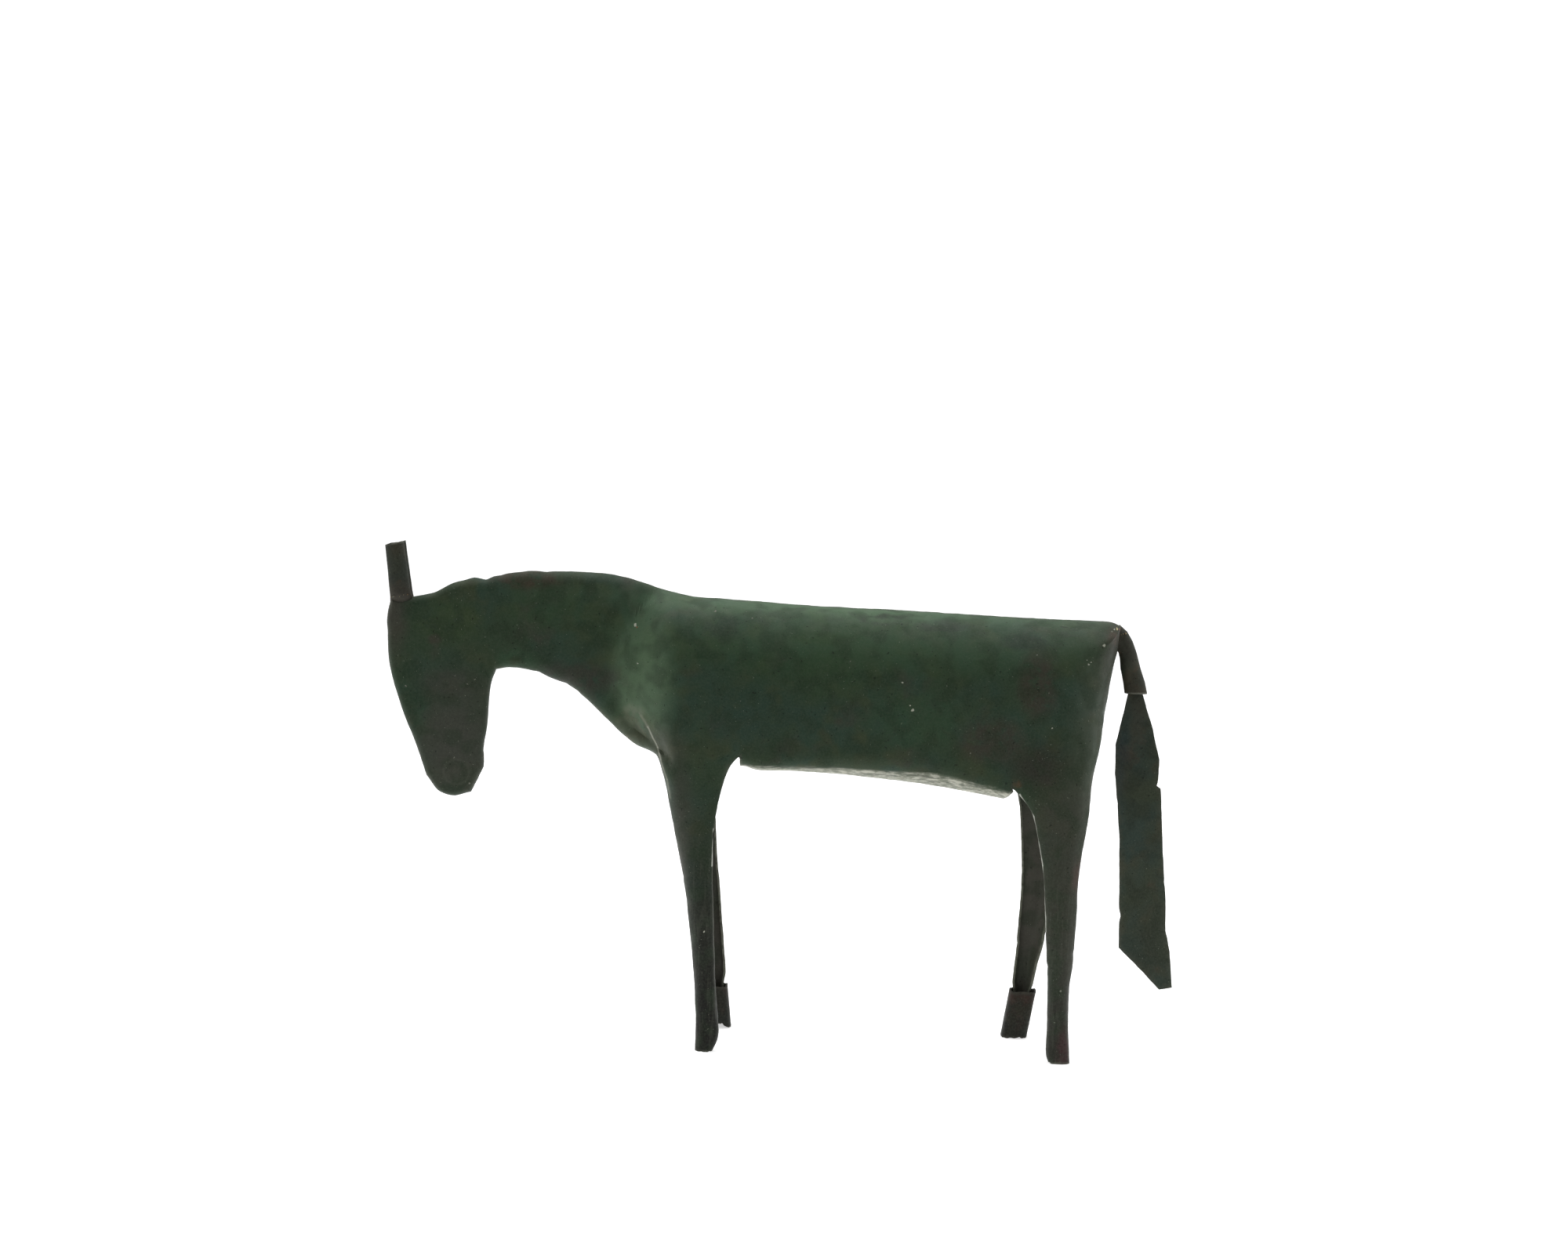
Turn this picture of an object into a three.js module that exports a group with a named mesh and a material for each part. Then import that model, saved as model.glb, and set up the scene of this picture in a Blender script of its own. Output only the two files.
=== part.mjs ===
// A standing horse with a lowered head, cut, folded and rolled from sheet metal.
// Millimetres, +Z up. The head points to -X, the tail to +X, and the origin is on the ground below the
// middle.
import * as THREE from "three";

// Sheet and widths
const SHEET = 1.0; // thickness of the metal
const TRUNK_HALF = 28; // half the width of the trunk over its flat sides
const NECK_HALF = 6.5; // half the width of the neck in front of the shoulder
const HEAD_HALF = 4.2; // half the width of the head
const NECK_SPAN = [-128, -83]; // where the head's width grows into the neck's

// Heights and places that the folds depend on
const BREAST_HEIGHT = 123.6; // below this the front legs are parted
const CROTCH_HEIGHT = 122; // below this the rear legs are parted
const LEG_TOP = 112; // below this the far legs stand otherwise than the near ones
const BREAST_BLEND = { above: 4, below: 6 }; // heights over which the trunk's front becomes the front leg
const RUMP_BLEND = { below: 10, above: 25 }; // the same for the rear leg and the narrowing rump
const FRONT_LEG_ZONE = [-60, -16]; // the front legs lie between these places
const REAR_LEG_ZONE = 96; // and the rear legs behind this one
const STANCE_SPAN = [100, 20]; // heights over which a far leg reaches its own stance
const FOLD_DEPTH = 0.3; // how far a leg's folded outer edge turns in, as a share of the half width
const FOLD_END = 102; // height at which a leg's folded edge has come down to its plain depth
const CUT_DEPTH = { foot: 0.16, top: 0.04 }; // the same for the open edge on the belly's side
const SHOULDER_TOP = 192;
const SHOULDER_NOSE = { x: -75, z: 154 }; // foremost point of the shoulder's bulge
const SHOULDER_SWEEP = { up: 18.9, down: 22, power: 1.7 }; // how the bulge's front line falls back from there
const SHOULDER_END = -44; // where the trunk has its full width
const SHOULDER_ROUNDING = { first: 0.12, last: 0.34 }; // shares of the widening that are rounded off
const RUMP_START = 100; // where the trunk begins to narrow towards the tail
const RUMP_LENGTH = 50; // over which it would come to a point
const FAR_FRONT_SET_BACK = 3.1; // the far front foot stands this much further back than the near one
const FAR_REAR_LEAN = 0.127; // the far rear leg leans forward by this much for each millimetre down
const FAR_REAR_BOW = { forward: 1.2, foot: 60, room: 8 }; // its bow above this height and clear of its top
const FAR_FOOT_TUCK = 1.4; // the far feet stand this much further in

// Fold radii, seen from the side
const BACK_RADIUS = 30;
const NECK_RADIUS = 6;
const HEAD_RADIUS = 3.2;
const RUMP_RADIUS = 8;
const CORNER_RADIUS = 11; // at the root of the tail
const LEG_RADIUS = { foot: 3.4, hock: 6.5 };
const CUT_RADIUS = { foot: 2.4, top: 4 };
const FLAP_RADIUS = 6;
const BELLY_RADIUS = 12;
const BELLY_SPAN = [-10, 40]; // where the flap's radius grows into the belly's
const BELLY_END_SPAN = [74, 92]; // where it tightens again
const BELLY_END_SHARE = 0.5;
const CUT_SPAN = [0, 100]; // heights over which a leg's open edge straightens
const MUZZLE_SPAN = [-150, -110]; // where the head's radius grows into the neck's, along the crest
const BACK_SPAN = [-78, -32]; // where the neck's grows into the back's
const TAIL_ROOT_SPAN = [105, 138]; // where the back's tightens to the corner's
const RUMP_SPAN = [182, 162]; // heights over which the corner's widens to the rump's
const JAW_SPAN = [-123, -103]; // where the head's radius grows into the neck's, along the throat
const HOCK_HEIGHT = 84; // from here down the legs' folds tighten

// How finely the metal is faceted
const STEP = 6.3; // along an outline
const RINGS = 4; // facets round a fold
const CORE_STEP = 9; // between points inside a flat side
const TUBE_SIDES = 16;
const EVENING_PASSES = 5; // each smooths the directions of the folds between neighbouring points
const MITRE_LIMIT = 1.5;
const SHOULDER_STEP = 5; // between rows of points on the shoulder
const SHOULDER_SHARES = [0, 0.15, 0.5, 0.8, 1]; // where they lie from its front line to its end
const SHOULDER_ROOM = 2.5; // least distance between them
const CORE_ROOM = 0.6; // least distance of other points from an edge, as a share of their spacing
const CORE_FROM = -170;
const CORE_TO = 140;
const TINY = 1e-6;

// Outlines in side view, each a smooth line through [x, z] points; the sheet lies to the right of its way
const CREST = [
  [-168.2, 184.7], [-158.9, 185.8], [-149.6, 187.9], [-141.8, 192.1], [-133.8, 193.9], [-128, 194.2],
  [-119, 196.9], [-105.6, 198.2], [-88, 198.7], [-73, 197.8], [-61, 194.9], [-50, 191.7], [-37.7, 189.9],
  [-8, 188.6], [35, 187.4], [85, 186.2], [128, 185.6], [138, 185.2], [141.6, 183.8],
];
const RUMP = [
  [141.6, 183.8], [140.9, 173.5], [139.7, 168], [138.4, 160], [136.8, 147], [135.3, 133], [132.9, 121],
];
const REAR_LEG_BACK = [
  [132.9, 121], [129, 98.7], [126.8, 81.4], [126.2, 58.9], [125.5, 40], [124.6, 31], [124.8, 14],
  [125.8, 0],
];
const REAR_LEG_CUT = [
  [116.7, 0], [115.8, 3], [115.6, 12], [115.1, 33.5], [113.7, 57], [112.2, 78.5], [110.4, 89],
  [106.8, 104.8], [103.2, 110.7], [96.8, 116.1],
];
const BELLY = [[93.2, 109.1], [84.6, 110.2], [57.8, 113.8], [22, 116.9], [-4.5, 118.6], [-13, 119]];
const FLAP_CORNERS = { rear: [97, 115], front: [-17, 124.6] }; // where the belly's flap is nipped at the fold
const FRONT_LEG_CUT = [
  [-18, 125.4], [-21.4, 120.9], [-25.3, 108.9], [-27.4, 94.8], [-27.7, 87], [-26.2, 51.2], [-23.6, 19.2],
  [-22.7, 5.9], [-24.9, 0],
];
const FRONT_LEG_FRONT = [
  [-32.3, 0], [-32.6, 13.7], [-35.2, 42.4], [-38.1, 63.5], [-42.1, 83.7], [-47.8, 108.2], [-51.9, 119.4],
  [-53.6, 122.3], [-56, 123.6],
];
const THROAT = [
  [-56, 123.6], [-63.3, 126.5], [-75.9, 137], [-84.3, 144.7], [-91.6, 150], [-98, 152.4], [-105.3, 155.1],
  [-116.7, 156.8], [-122.7, 155.8],
];
const JAW = [[-122.7, 155.8], [-124.7, 149.4], [-125.9, 132.2], [-127.2, 123], [-127, 113.8]];
const CHIN = [[-127, 113.8], [-132.2, 103]];
const MUZZLE = [[-132.2, 103], [-139.5, 101.2], [-145.9, 102.9], [-151.4, 109.5]];
const FACE = [
  [-151.4, 109.5], [-156.5, 123.3], [-163.6, 140.4], [-168.2, 155.8], [-169.5, 170], [-169.7, 177.3],
  [-168.2, 184.7],
];

// Ears: rolled tubes, whose cut top rises towards the tail
const EAR_BASE = { x: -163.5, z: 186.2, half: 4.5 };
const EAR_TIP = { x: -167, z: 208.4, half: 3.9 };
const EAR_DEPTH = 2.5; // half of an ear's size across the horse
const EAR_APART = 3.2; // from the middle plane to the middle of an ear
const EAR_BASE_RISE = 0.3;
const EAR_TOP_RISE = 0.9;
const EAR_WALL = 0.8;

// Tail: a bent tube, given by its front and back edge at each section, with a flat strip in its open end
const STEM_SECTIONS = [
  [[142, 173.8], [142, 183.6]], [[142.1, 172.2], [146.9, 178.9]], [[142.3, 169.5], [149, 172.8]],
  [[143.2, 165.5], [151, 166]], [[144.4, 159.5], [153.2, 159.8]], [[145.1, 155], [154.2, 155]],
];
const STEM_DEPTH = 3.4;
const STEM_WALL = 0.9;
const STRIP = [
  [147.2, 159.5], [151.6, 159.5], [152.6, 154.6], [157, 141.5], [160.9, 127], [160.8, 115.9],
  [162.1, 114.6], [164.2, 87.6], [166.4, 67], [167, 53.1], [169.2, 44], [170.9, 28.6], [165.5, 27.7],
  [155, 38.2], [147.3, 45.4], [147, 60], [145.6, 93.5], [142.6, 120.4], [142.3, 132.7], [146.5, 154.6],
];

// Sleeves wrapped round the two far feet; the sheet of the leg ends inside them, above the ground
const REAR_HOOF = { top: [108.9, 20.6], foot: [105.7, 0], half: { foot: 5.6, top: 5.75 } };
const FRONT_HOOF = { top: [-25.8, 18.2], foot: [-24.7, 0], half: { foot: 6, top: 5.6 } };
const HOOF_DEPTH = 5.4;
const HOOF_MIDDLE = 22.5; // from the middle plane to the middle of a sleeve
const HOOF_WALL = 0.8;
const HOOF_STEPS = 4;
const HOOF_SQUARENESS = 3.4;
const LEG_LIFT = 1;
const LEG_PINCH = 0.25; // how much narrower the leg is inside its sleeve
const LEG_PINCH_TOP = 25;
const LEG_PINCH_LENGTH = 7;

// Patina: colour and roughness
const METAL_SHARE = 0.3;
const BODY_PATINA = { color: 0x2c3a29, roughness: 0.6 };
const EAR_PATINA = { color: 0x393937, roughness: 0.6 };
const STEM_PATINA = { color: 0x373832, roughness: 0.6 };
const STRIP_PATINA = { color: 0x32362d, roughness: 0.6 };
const HOOF_PATINA = { color: 0x2a2a24, roughness: 0.65 };

const clamp01 = (t) => Math.min(1, Math.max(0, t));
const ease = (t) => clamp01(t) ** 2 * (3 - 2 * clamp01(t));
const mix = (a, b, t) => a + (b - a) * t;
const between = (v, low, high) => ease((v - low) / (high - low));

// The line where the neck begins to widen, which bulges forward to the nose of the shoulder
function shoulderStart(z) {
  const { x, z: noseZ } = SHOULDER_NOSE;
  if (z > noseZ) return x + SHOULDER_SWEEP.up * ((z - noseZ) / (SHOULDER_TOP - noseZ)) ** 2;
  return x + SHOULDER_SWEEP.down * ((noseZ - z) / (noseZ - BREAST_HEIGHT)) ** SHOULDER_SWEEP.power;
}

// Rises from 0 to 1 in a straight line that is rounded off over its first and last share
function ramp(t, { first, last }) {
  const whole = 1 - first / 2 - last / 2;
  if (t <= 0) return 0;
  if (t < first) return t ** 2 / (2 * first) / whole;
  if (t < 1 - last) return (t - first / 2) / whole;
  return 1 - (1 - clamp01(t)) ** 2 / (2 * last) / whole;
}

// Half width of the horse at a point of its side, before the folds at its edges take it in
function sideWidth(x, z) {
  const neck = mix(HEAD_HALF, NECK_HALF, between(x, ...NECK_SPAN));
  const start = shoulderStart(Math.max(z, BREAST_HEIGHT));
  const rise = ramp((x - start) / (SHOULDER_END - start), SHOULDER_ROUNDING);
  const upright = between(z, BREAST_HEIGHT + BREAST_BLEND.above, BREAST_HEIGHT - BREAST_BLEND.below);
  const leg = x > FRONT_LEG_ZONE[0] ? upright : 0;
  const high = between(z, BREAST_HEIGHT - RUMP_BLEND.below, BREAST_HEIGHT + RUMP_BLEND.above);
  const rump = clamp01((x - RUMP_START) / RUMP_LENGTH) * high;
  return mix(neck, TRUNK_HALF, Math.max(rise, leg)) * Math.sqrt(1 - rump ** 2);
}

// The folded edges of a side, as runs that join corner to corner. A fold has a radius in side view and a
// depth: 1 folds the sheet to the middle plane, where it is joined to the other side.
const cutRadius = (x, z) => mix(CUT_RADIUS.foot, CUT_RADIUS.top, between(z, ...CUT_SPAN));
const cutDepth = (x, z) => mix(CUT_DEPTH.foot, CUT_DEPTH.top, between(z, ...CUT_SPAN));
const headRadius = () => HEAD_RADIUS;
const legRadius = (z) => mix(LEG_RADIUS.foot, LEG_RADIUS.hock, between(z, 0, HOCK_HEIGHT));
const crestRadius = (x) => {
  const neck = mix(HEAD_RADIUS, NECK_RADIUS, between(x, ...MUZZLE_SPAN));
  return mix(mix(neck, BACK_RADIUS, between(x, ...BACK_SPAN)), CORNER_RADIUS, between(x, ...TAIL_ROOT_SPAN));
};
const OUTER_RUN = [
  {
    line: FRONT_LEG_FRONT,
    radius: (x, z) => mix(legRadius(z), NECK_RADIUS, between(z, FOLD_END, BREAST_HEIGHT)),
    depth: (x, z) => mix(FOLD_DEPTH, 1, between(z, FOLD_END, BREAST_HEIGHT)),
  },
  { line: THROAT, radius: (x) => mix(HEAD_RADIUS, NECK_RADIUS, between(x, ...JAW_SPAN)) },
  { line: JAW, radius: headRadius },
  { line: CHIN, radius: headRadius },
  { line: MUZZLE, radius: headRadius },
  { line: FACE, radius: headRadius },
  { line: CREST, radius: crestRadius },
  { line: RUMP, radius: (x, z) => mix(CORNER_RADIUS, RUMP_RADIUS, between(z, ...RUMP_SPAN)) },
  {
    line: REAR_LEG_BACK,
    radius: (x, z) => mix(legRadius(z), RUMP_RADIUS, between(z, HOCK_HEIGHT, CROTCH_HEIGHT)),
    depth: (x, z) => mix(FOLD_DEPTH, 1, between(z, FOLD_END, CROTCH_HEIGHT)),
  },
];
const REAR_CUT_RUN = [{ line: REAR_LEG_CUT, radius: cutRadius, depth: cutDepth }];
const FRONT_CUT_RUN = [{ line: FRONT_LEG_CUT, radius: cutRadius, depth: cutDepth }];
const bellyRadius = (x) => {
  const tightening = mix(1, BELLY_END_SHARE, between(x, ...BELLY_END_SPAN));
  return mix(FLAP_RADIUS, BELLY_RADIUS, between(x, ...BELLY_SPAN)) * tightening;
};
const BELLY_RUN = [{ line: BELLY, radius: bellyRadius }];

// A smooth line through points, cut in nearly equal steps
function smoothLine(points, step) {
  const through = points.map(([x, z]) => new THREE.Vector3(x, z, 0));
  const curve = new THREE.CatmullRomCurve3(through, false, "centripetal");
  const count = Math.max(1, Math.round(curve.getLength() / step));
  return curve.getSpacedPoints(count).map((p) => new THREE.Vector2(p.x, p.y));
}

// Unit vector to the right of the way from one point to another
function rightOf(from, to) {
  const way = new THREE.Vector2().subVectors(to, from).normalize();
  return new THREE.Vector2(way.y, -way.x);
}

// Vectors from each point of a run to the inner end of its fold, mitred at corners and then evened out
function foldVectors(points, radii, ends) {
  let vectors = points.map((p, i) => {
    if (i === 0) return new THREE.Vector2(...ends.first);
    if (i === points.length - 1) return new THREE.Vector2(...ends.last);
    const sum = rightOf(points[i - 1], p).add(rightOf(p, points[i + 1]));
    const mitre = Math.min(MITRE_LIMIT, 2 / sum.length());
    return sum.normalize().multiplyScalar(mitre * radii[i]);
  });
  for (let pass = 0; pass < EVENING_PASSES; pass++) {
    vectors = vectors.map((v, i) => {
      if (i === 0 || i === vectors.length - 1) return v;
      return v.clone().multiplyScalar(2).add(vectors[i - 1]).add(vectors[i + 1]).multiplyScalar(0.25);
    });
  }
  return vectors;
}

// The side of the horse as a flat net of points with half widths, and triangles between them
function makeSide() {
  const points = [];
  const triangles = [];
  const addPoint = (p, half) => points.push({ x: p.x, z: Math.max(0, p.y), half }) - 1;

  // One run of folds: rings of points from the outline inwards, with a strip of facets between each two
  function addRun(edges, ends) {
    const line = [];
    const radii = [];
    const depths = [];
    edges.forEach(({ line: through, radius, depth }, e) => {
      smoothLine(through, STEP).forEach((p, i) => {
        if (e > 0 && i === 0) return;
        line.push(p);
        radii.push(radius(p.x, p.y));
        depths.push(depth ? depth(p.x, p.y) : 1);
      });
    });
    const vectors = foldVectors(line, radii, ends);
    const rings = [];
    for (let k = 0; k <= RINGS; k++) {
      const angle = (k / RINGS) * (Math.PI / 2);
      rings.push(
        line.map((p, i) => {
          const q = p.clone().addScaledVector(vectors[i], 1 - Math.cos(angle));
          return addPoint(q, sideWidth(q.x, q.y) * (1 - depths[i] * (1 - Math.sin(angle))));
        }),
      );
    }
    for (let k = 0; k < RINGS; k++) {
      for (let i = 0; i + 1 < line.length; i++) {
        const [a, b, c, d] = [rings[k][i], rings[k][i + 1], rings[k + 1][i + 1], rings[k + 1][i]];
        triangles.push([a, b, c], [a, c, d]);
      }
    }
    return rings;
  }

  const flapEnd = (corner, end) => [corner[0] - end[0], corner[1] - end[1]];
  const outer = addRun(OUTER_RUN, { first: [LEG_RADIUS.foot, 0], last: [-LEG_RADIUS.foot, 0] });
  const rearCut = addRun(REAR_CUT_RUN, {
    first: [CUT_RADIUS.foot, 0],
    last: [CUT_RADIUS.top, CUT_RADIUS.top],
  });
  const belly = addRun(BELLY_RUN, {
    first: flapEnd(FLAP_CORNERS.rear, BELLY[0]),
    last: flapEnd(FLAP_CORNERS.front, BELLY.at(-1)),
  });
  const frontCut = addRun(FRONT_CUT_RUN, {
    first: [-CUT_RADIUS.top, CUT_RADIUS.top],
    last: [-CUT_RADIUS.foot, 0],
  });

  // The flat middle of the side, bounded by the inner rings of the folds
  const innerRing = (rings) => rings[RINGS];
  const endColumn = (rings, at) => rings.slice(0, RINGS).map((ring) => ring.at(at));
  const loop = [
    ...innerRing(outer), ...innerRing(rearCut), ...endColumn(rearCut, -1).reverse(), ...innerRing(belly),
    ...endColumn(frontCut, 0), ...innerRing(frontCut),
  ];
  const inside = corePoints(loop.map((i) => points[i])).map((p) => addPoint(p, sideWidth(p.x, p.y)));
  triangles.push(...triangulate(points, loop, inside));
  return { points, triangles };
}

// Distance from a point to a closed loop, negative outside it
function depthInside(x, z, loop) {
  let inside = false;
  let nearest = Infinity;
  loop.forEach((a, i) => {
    const b = loop[(i + 1) % loop.length];
    if (a.z > z !== b.z > z && x < a.x + ((b.x - a.x) * (z - a.z)) / (b.z - a.z)) inside = !inside;
    const length = (b.x - a.x) ** 2 + (b.z - a.z) ** 2;
    const t = length > 0 ? clamp01(((x - a.x) * (b.x - a.x) + (z - a.z) * (b.z - a.z)) / length) : 0;
    nearest = Math.min(nearest, Math.hypot(x - mix(a.x, b.x, t), z - mix(a.z, b.z, t)));
  });
  return inside ? nearest : -nearest;
}

// Points inside the flat middle: closely over the shoulder, and a staggered grid elsewhere
function corePoints(loop) {
  const chosen = [];
  const tryPoint = (x, z, room) => {
    const clear = chosen.every((p) => Math.hypot(p.x - x, p.y - z) > room);
    if (clear && depthInside(x, z, loop) > room * CORE_ROOM) chosen.push(new THREE.Vector2(x, z));
  };
  for (let z = BREAST_HEIGHT; z < SHOULDER_TOP; z += SHOULDER_STEP) {
    const start = shoulderStart(z);
    for (const share of SHOULDER_SHARES) tryPoint(mix(start, SHOULDER_END, share), z, SHOULDER_ROOM);
  }
  for (let row = 0; row * CORE_STEP < SHOULDER_TOP; row++) {
    const stagger = row % 2 ? CORE_STEP / 2 : 0;
    for (let x = CORE_FROM + stagger; x < CORE_TO; x += CORE_STEP) {
      tryPoint(x, row * CORE_STEP, CORE_STEP * CORE_ROOM);
    }
  }
  return chosen;
}

// Triangles over a loop of points with further points inside it, swapped until none is needlessly thin
function triangulate(points, loop, inside) {
  const flat = loop.map((i) => new THREE.Vector2(points[i].x, points[i].z));
  const triangles = THREE.ShapeUtils.triangulateShape(flat, []).map((t) => t.map((k) => loop[k]));
  const turn = (a, b, c) => {
    const [p, q, r] = [points[a], points[b], points[c]];
    return (q.x - p.x) * (r.z - p.z) - (q.z - p.z) * (r.x - p.x);
  };
  const clockwise = (t) => (turn(...t) > 0 ? [t[0], t[2], t[1]] : t);
  triangles.forEach((t, i) => (triangles[i] = clockwise(t)));
  for (const p of inside) {
    const holds = ([a, b, c]) => turn(a, b, p) <= 0 && turn(b, c, p) <= 0 && turn(c, a, p) <= 0;
    const at = triangles.findIndex(holds);
    const [a, b, c] = triangles[at];
    triangles.splice(at, 1, [a, b, p], [b, c, p], [c, a, p]);
  }
  while (swapThin(points, triangles, turn));
  return triangles;
}

// Swaps the shared edge of each pair of triangles whose opposite angles add up to more than a half turn
function swapThin(points, triangles, turn) {
  const owners = new Map();
  triangles.forEach((t, i) => t.forEach((v, k) => owners.set(v + "_" + t[(k + 1) % 3], i)));
  const changed = new Set();
  let swaps = 0;
  triangles.forEach((t, i) => {
    for (let k = 0; k < 3; k++) {
      const [a, b, c] = [triangles[i][k], triangles[i][(k + 1) % 3], triangles[i][(k + 2) % 3]];
      const other = owners.get(b + "_" + a);
      if (other === undefined || changed.has(i) || changed.has(other)) continue;
      const d = triangles[other].find((v) => v !== a && v !== b);
      const wide = angleAt(points, c, a, b) + angleAt(points, d, a, b);
      if (wide < Math.PI + TINY || turn(c, a, d) >= -TINY || turn(c, d, b) >= -TINY) continue;
      triangles[i] = [c, a, d];
      triangles[other] = [c, d, b];
      changed.add(i);
      changed.add(other);
      swaps++;
    }
  });
  return swaps > 0;
}

function angleAt(points, at, a, b) {
  const [p, q, r] = [points[at], points[a], points[b]];
  const u = new THREE.Vector2(q.x - p.x, q.z - p.z).normalize();
  const v = new THREE.Vector2(r.x - p.x, r.z - p.z).normalize();
  return Math.acos(Math.min(1, Math.max(-1, u.dot(v))));
}

// Place of a point on the far side, whose legs stand otherwise and are pinched inside their sleeves
function farPlace({ x, z, half }) {
  const frontLeg = x > FRONT_LEG_ZONE[0] && x < FRONT_LEG_ZONE[1] && z < BREAST_HEIGHT;
  const rearLeg = x > REAR_LEG_ZONE && z < LEG_TOP;
  if (!frontLeg && !rearLeg) return new THREE.Vector3(x, half, z);
  const down = between(z, ...STANCE_SPAN);
  const hoof = frontLeg ? FRONT_HOOF : REAR_HOOF;
  const upper = between(z, FAR_REAR_BOW.foot, HOCK_HEIGHT) * between(z, LEG_TOP, LEG_TOP - FAR_REAR_BOW.room);
  const rearShift = -FAR_REAR_LEAN * (LEG_TOP - z) - FAR_REAR_BOW.forward * upper;
  const shift = frontLeg ? FAR_FRONT_SET_BACK * down : rearShift;
  const pinch = LEG_PINCH * between(z, LEG_PINCH_TOP, LEG_PINCH_TOP - LEG_PINCH_LENGTH);
  const lift = LEG_LIFT * clamp01(1 - z / LEG_PINCH_TOP);
  const middle = mix(hoof.foot[0], hoof.top[0], z / hoof.top[1]);
  return new THREE.Vector3(
    mix(x + shift, middle, pinch),
    mix(half - FAR_FOOT_TUCK * down, HOOF_MIDDLE, pinch),
    z + lift,
  );
}

// The whole shell: both sides, joined in the middle plane, and the inner skin a sheet's thickness in
function bodyGeometry() {
  const side = makeSide();
  const places = side.points.map(({ x, z, half }) => new THREE.Vector3(x, -half, z));
  const farIndex = side.points.map((p, i) => {
    if (p.half < TINY) return i;
    return places.push(farPlace(p)) - 1;
  });
  const outside = [
    ...side.triangles.map(([a, b, c]) => [a, c, b]),
    ...side.triangles.map((t) => t.map((v) => farIndex[v])),
  ];
  const normals = places.map(() => new THREE.Vector3());
  for (const t of outside) {
    const [a, b, c] = t.map((v) => places[v]);
    const facing = new THREE.Vector3().subVectors(b, a).cross(new THREE.Vector3().subVectors(c, a));
    for (const v of t) normals[v].add(facing);
  }
  const count = places.length;
  for (let i = 0; i < count; i++) {
    const inner = places[i].clone().addScaledVector(normals[i].normalize(), -SHEET);
    if (places[i].z === 0) inner.z = 0;
    places.push(inner);
  }
  const faces = [...outside, ...outside.map(([a, b, c]) => [a + count, c + count, b + count])];
  const directed = new Set(outside.flatMap((t) => t.map((v, k) => v + "_" + t[(k + 1) % 3])));
  for (const [a, b, c] of outside) {
    for (const [from, to] of [[a, b], [b, c], [c, a]]) {
      if (directed.has(to + "_" + from)) continue;
      faces.push([to, from, from + count], [to, from + count, to + count]);
    }
  }
  return indexedGeometry(places, faces);
}

function indexedGeometry(places, faces) {
  const geometry = new THREE.BufferGeometry();
  const numbers = places.flatMap((p) => p.toArray());
  geometry.setAttribute("position", new THREE.Float32BufferAttribute(numbers, 3));
  geometry.setIndex(faces.flat());
  geometry.computeVertexNormals();
  return geometry;
}

// A tube open at both ends. Each section has a middle, a half width vector and a half depth along Y.
function tubeGeometry(sections, wall, squareness = 2) {
  const places = [];
  const power = 2 / squareness;
  const rounded = (v) => Math.sign(v) * Math.abs(v) ** power;
  for (const inset of [0, wall]) {
    for (const { middle, across, depth } of sections) {
      const length = across.length();
      for (let i = 0; i < TUBE_SIDES; i++) {
        const angle = (i / TUBE_SIDES) * 2 * Math.PI;
        const u = (rounded(Math.cos(angle)) * (length - inset)) / length;
        const place = middle.clone().addScaledVector(across, u);
        place.y += rounded(Math.sin(angle)) * (depth - inset);
        places.push(place);
      }
    }
  }
  const faces = [];
  const inner = sections.length * TUBE_SIDES;
  const addQuad = (a, b, c, d) => faces.push([a, b, c], [a, c, d]);
  for (let i = 0; i < TUBE_SIDES; i++) {
    const next = (i + 1) % TUBE_SIDES;
    for (let s = 0; s + 1 < sections.length; s++) {
      const [low, high] = [s * TUBE_SIDES, (s + 1) * TUBE_SIDES];
      addQuad(low + i, low + next, high + next, high + i);
      addQuad(inner + low + next, inner + low + i, inner + high + i, inner + high + next);
    }
    const last = (sections.length - 1) * TUBE_SIDES;
    addQuad(inner + i, inner + next, next, i);
    addQuad(last + i, last + next, inner + last + next, inner + last + i);
  }
  return indexedGeometry(places, faces);
}

function earGeometry(side) {
  const section = ({ x, z, half }, rise) => ({
    middle: new THREE.Vector3(x, side * EAR_APART, z),
    across: new THREE.Vector3(half, 0, rise),
    depth: EAR_DEPTH,
  });
  return tubeGeometry([section(EAR_BASE, EAR_BASE_RISE), section(EAR_TIP, EAR_TOP_RISE)], EAR_WALL);
}

function stemGeometry() {
  const sections = STEM_SECTIONS.map(([front, back]) => {
    const from = new THREE.Vector3(front[0], 0, front[1]);
    const to = new THREE.Vector3(back[0], 0, back[1]);
    return {
      middle: from.clone().add(to).multiplyScalar(0.5),
      across: to.clone().sub(from).multiplyScalar(0.5),
      depth: STEM_DEPTH,
    };
  });
  return tubeGeometry(sections.reverse(), STEM_WALL);
}

function stripGeometry() {
  const shape = new THREE.Shape(STRIP.map(([x, z]) => new THREE.Vector2(x, z)));
  const geometry = new THREE.ExtrudeGeometry(shape, { depth: SHEET, bevelEnabled: false });
  geometry.translate(0, 0, -SHEET / 2);
  geometry.rotateX(Math.PI / 2);
  return geometry;
}

function hoofGeometry({ top, foot, half }) {
  const sections = [];
  for (let i = 0; i <= HOOF_STEPS; i++) {
    const t = i / HOOF_STEPS;
    sections.push({
      middle: new THREE.Vector3(mix(foot[0], top[0], t), HOOF_MIDDLE, mix(foot[1], top[1], t)),
      across: new THREE.Vector3(mix(half.foot, half.top, t), 0, 0),
      depth: HOOF_DEPTH,
    });
  }
  return tubeGeometry(sections, HOOF_WALL, HOOF_SQUARENESS);
}

function sheetMetal({ color, roughness }) {
  return new THREE.MeshStandardMaterial({ color, roughness, metalness: METAL_SHARE });
}

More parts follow.
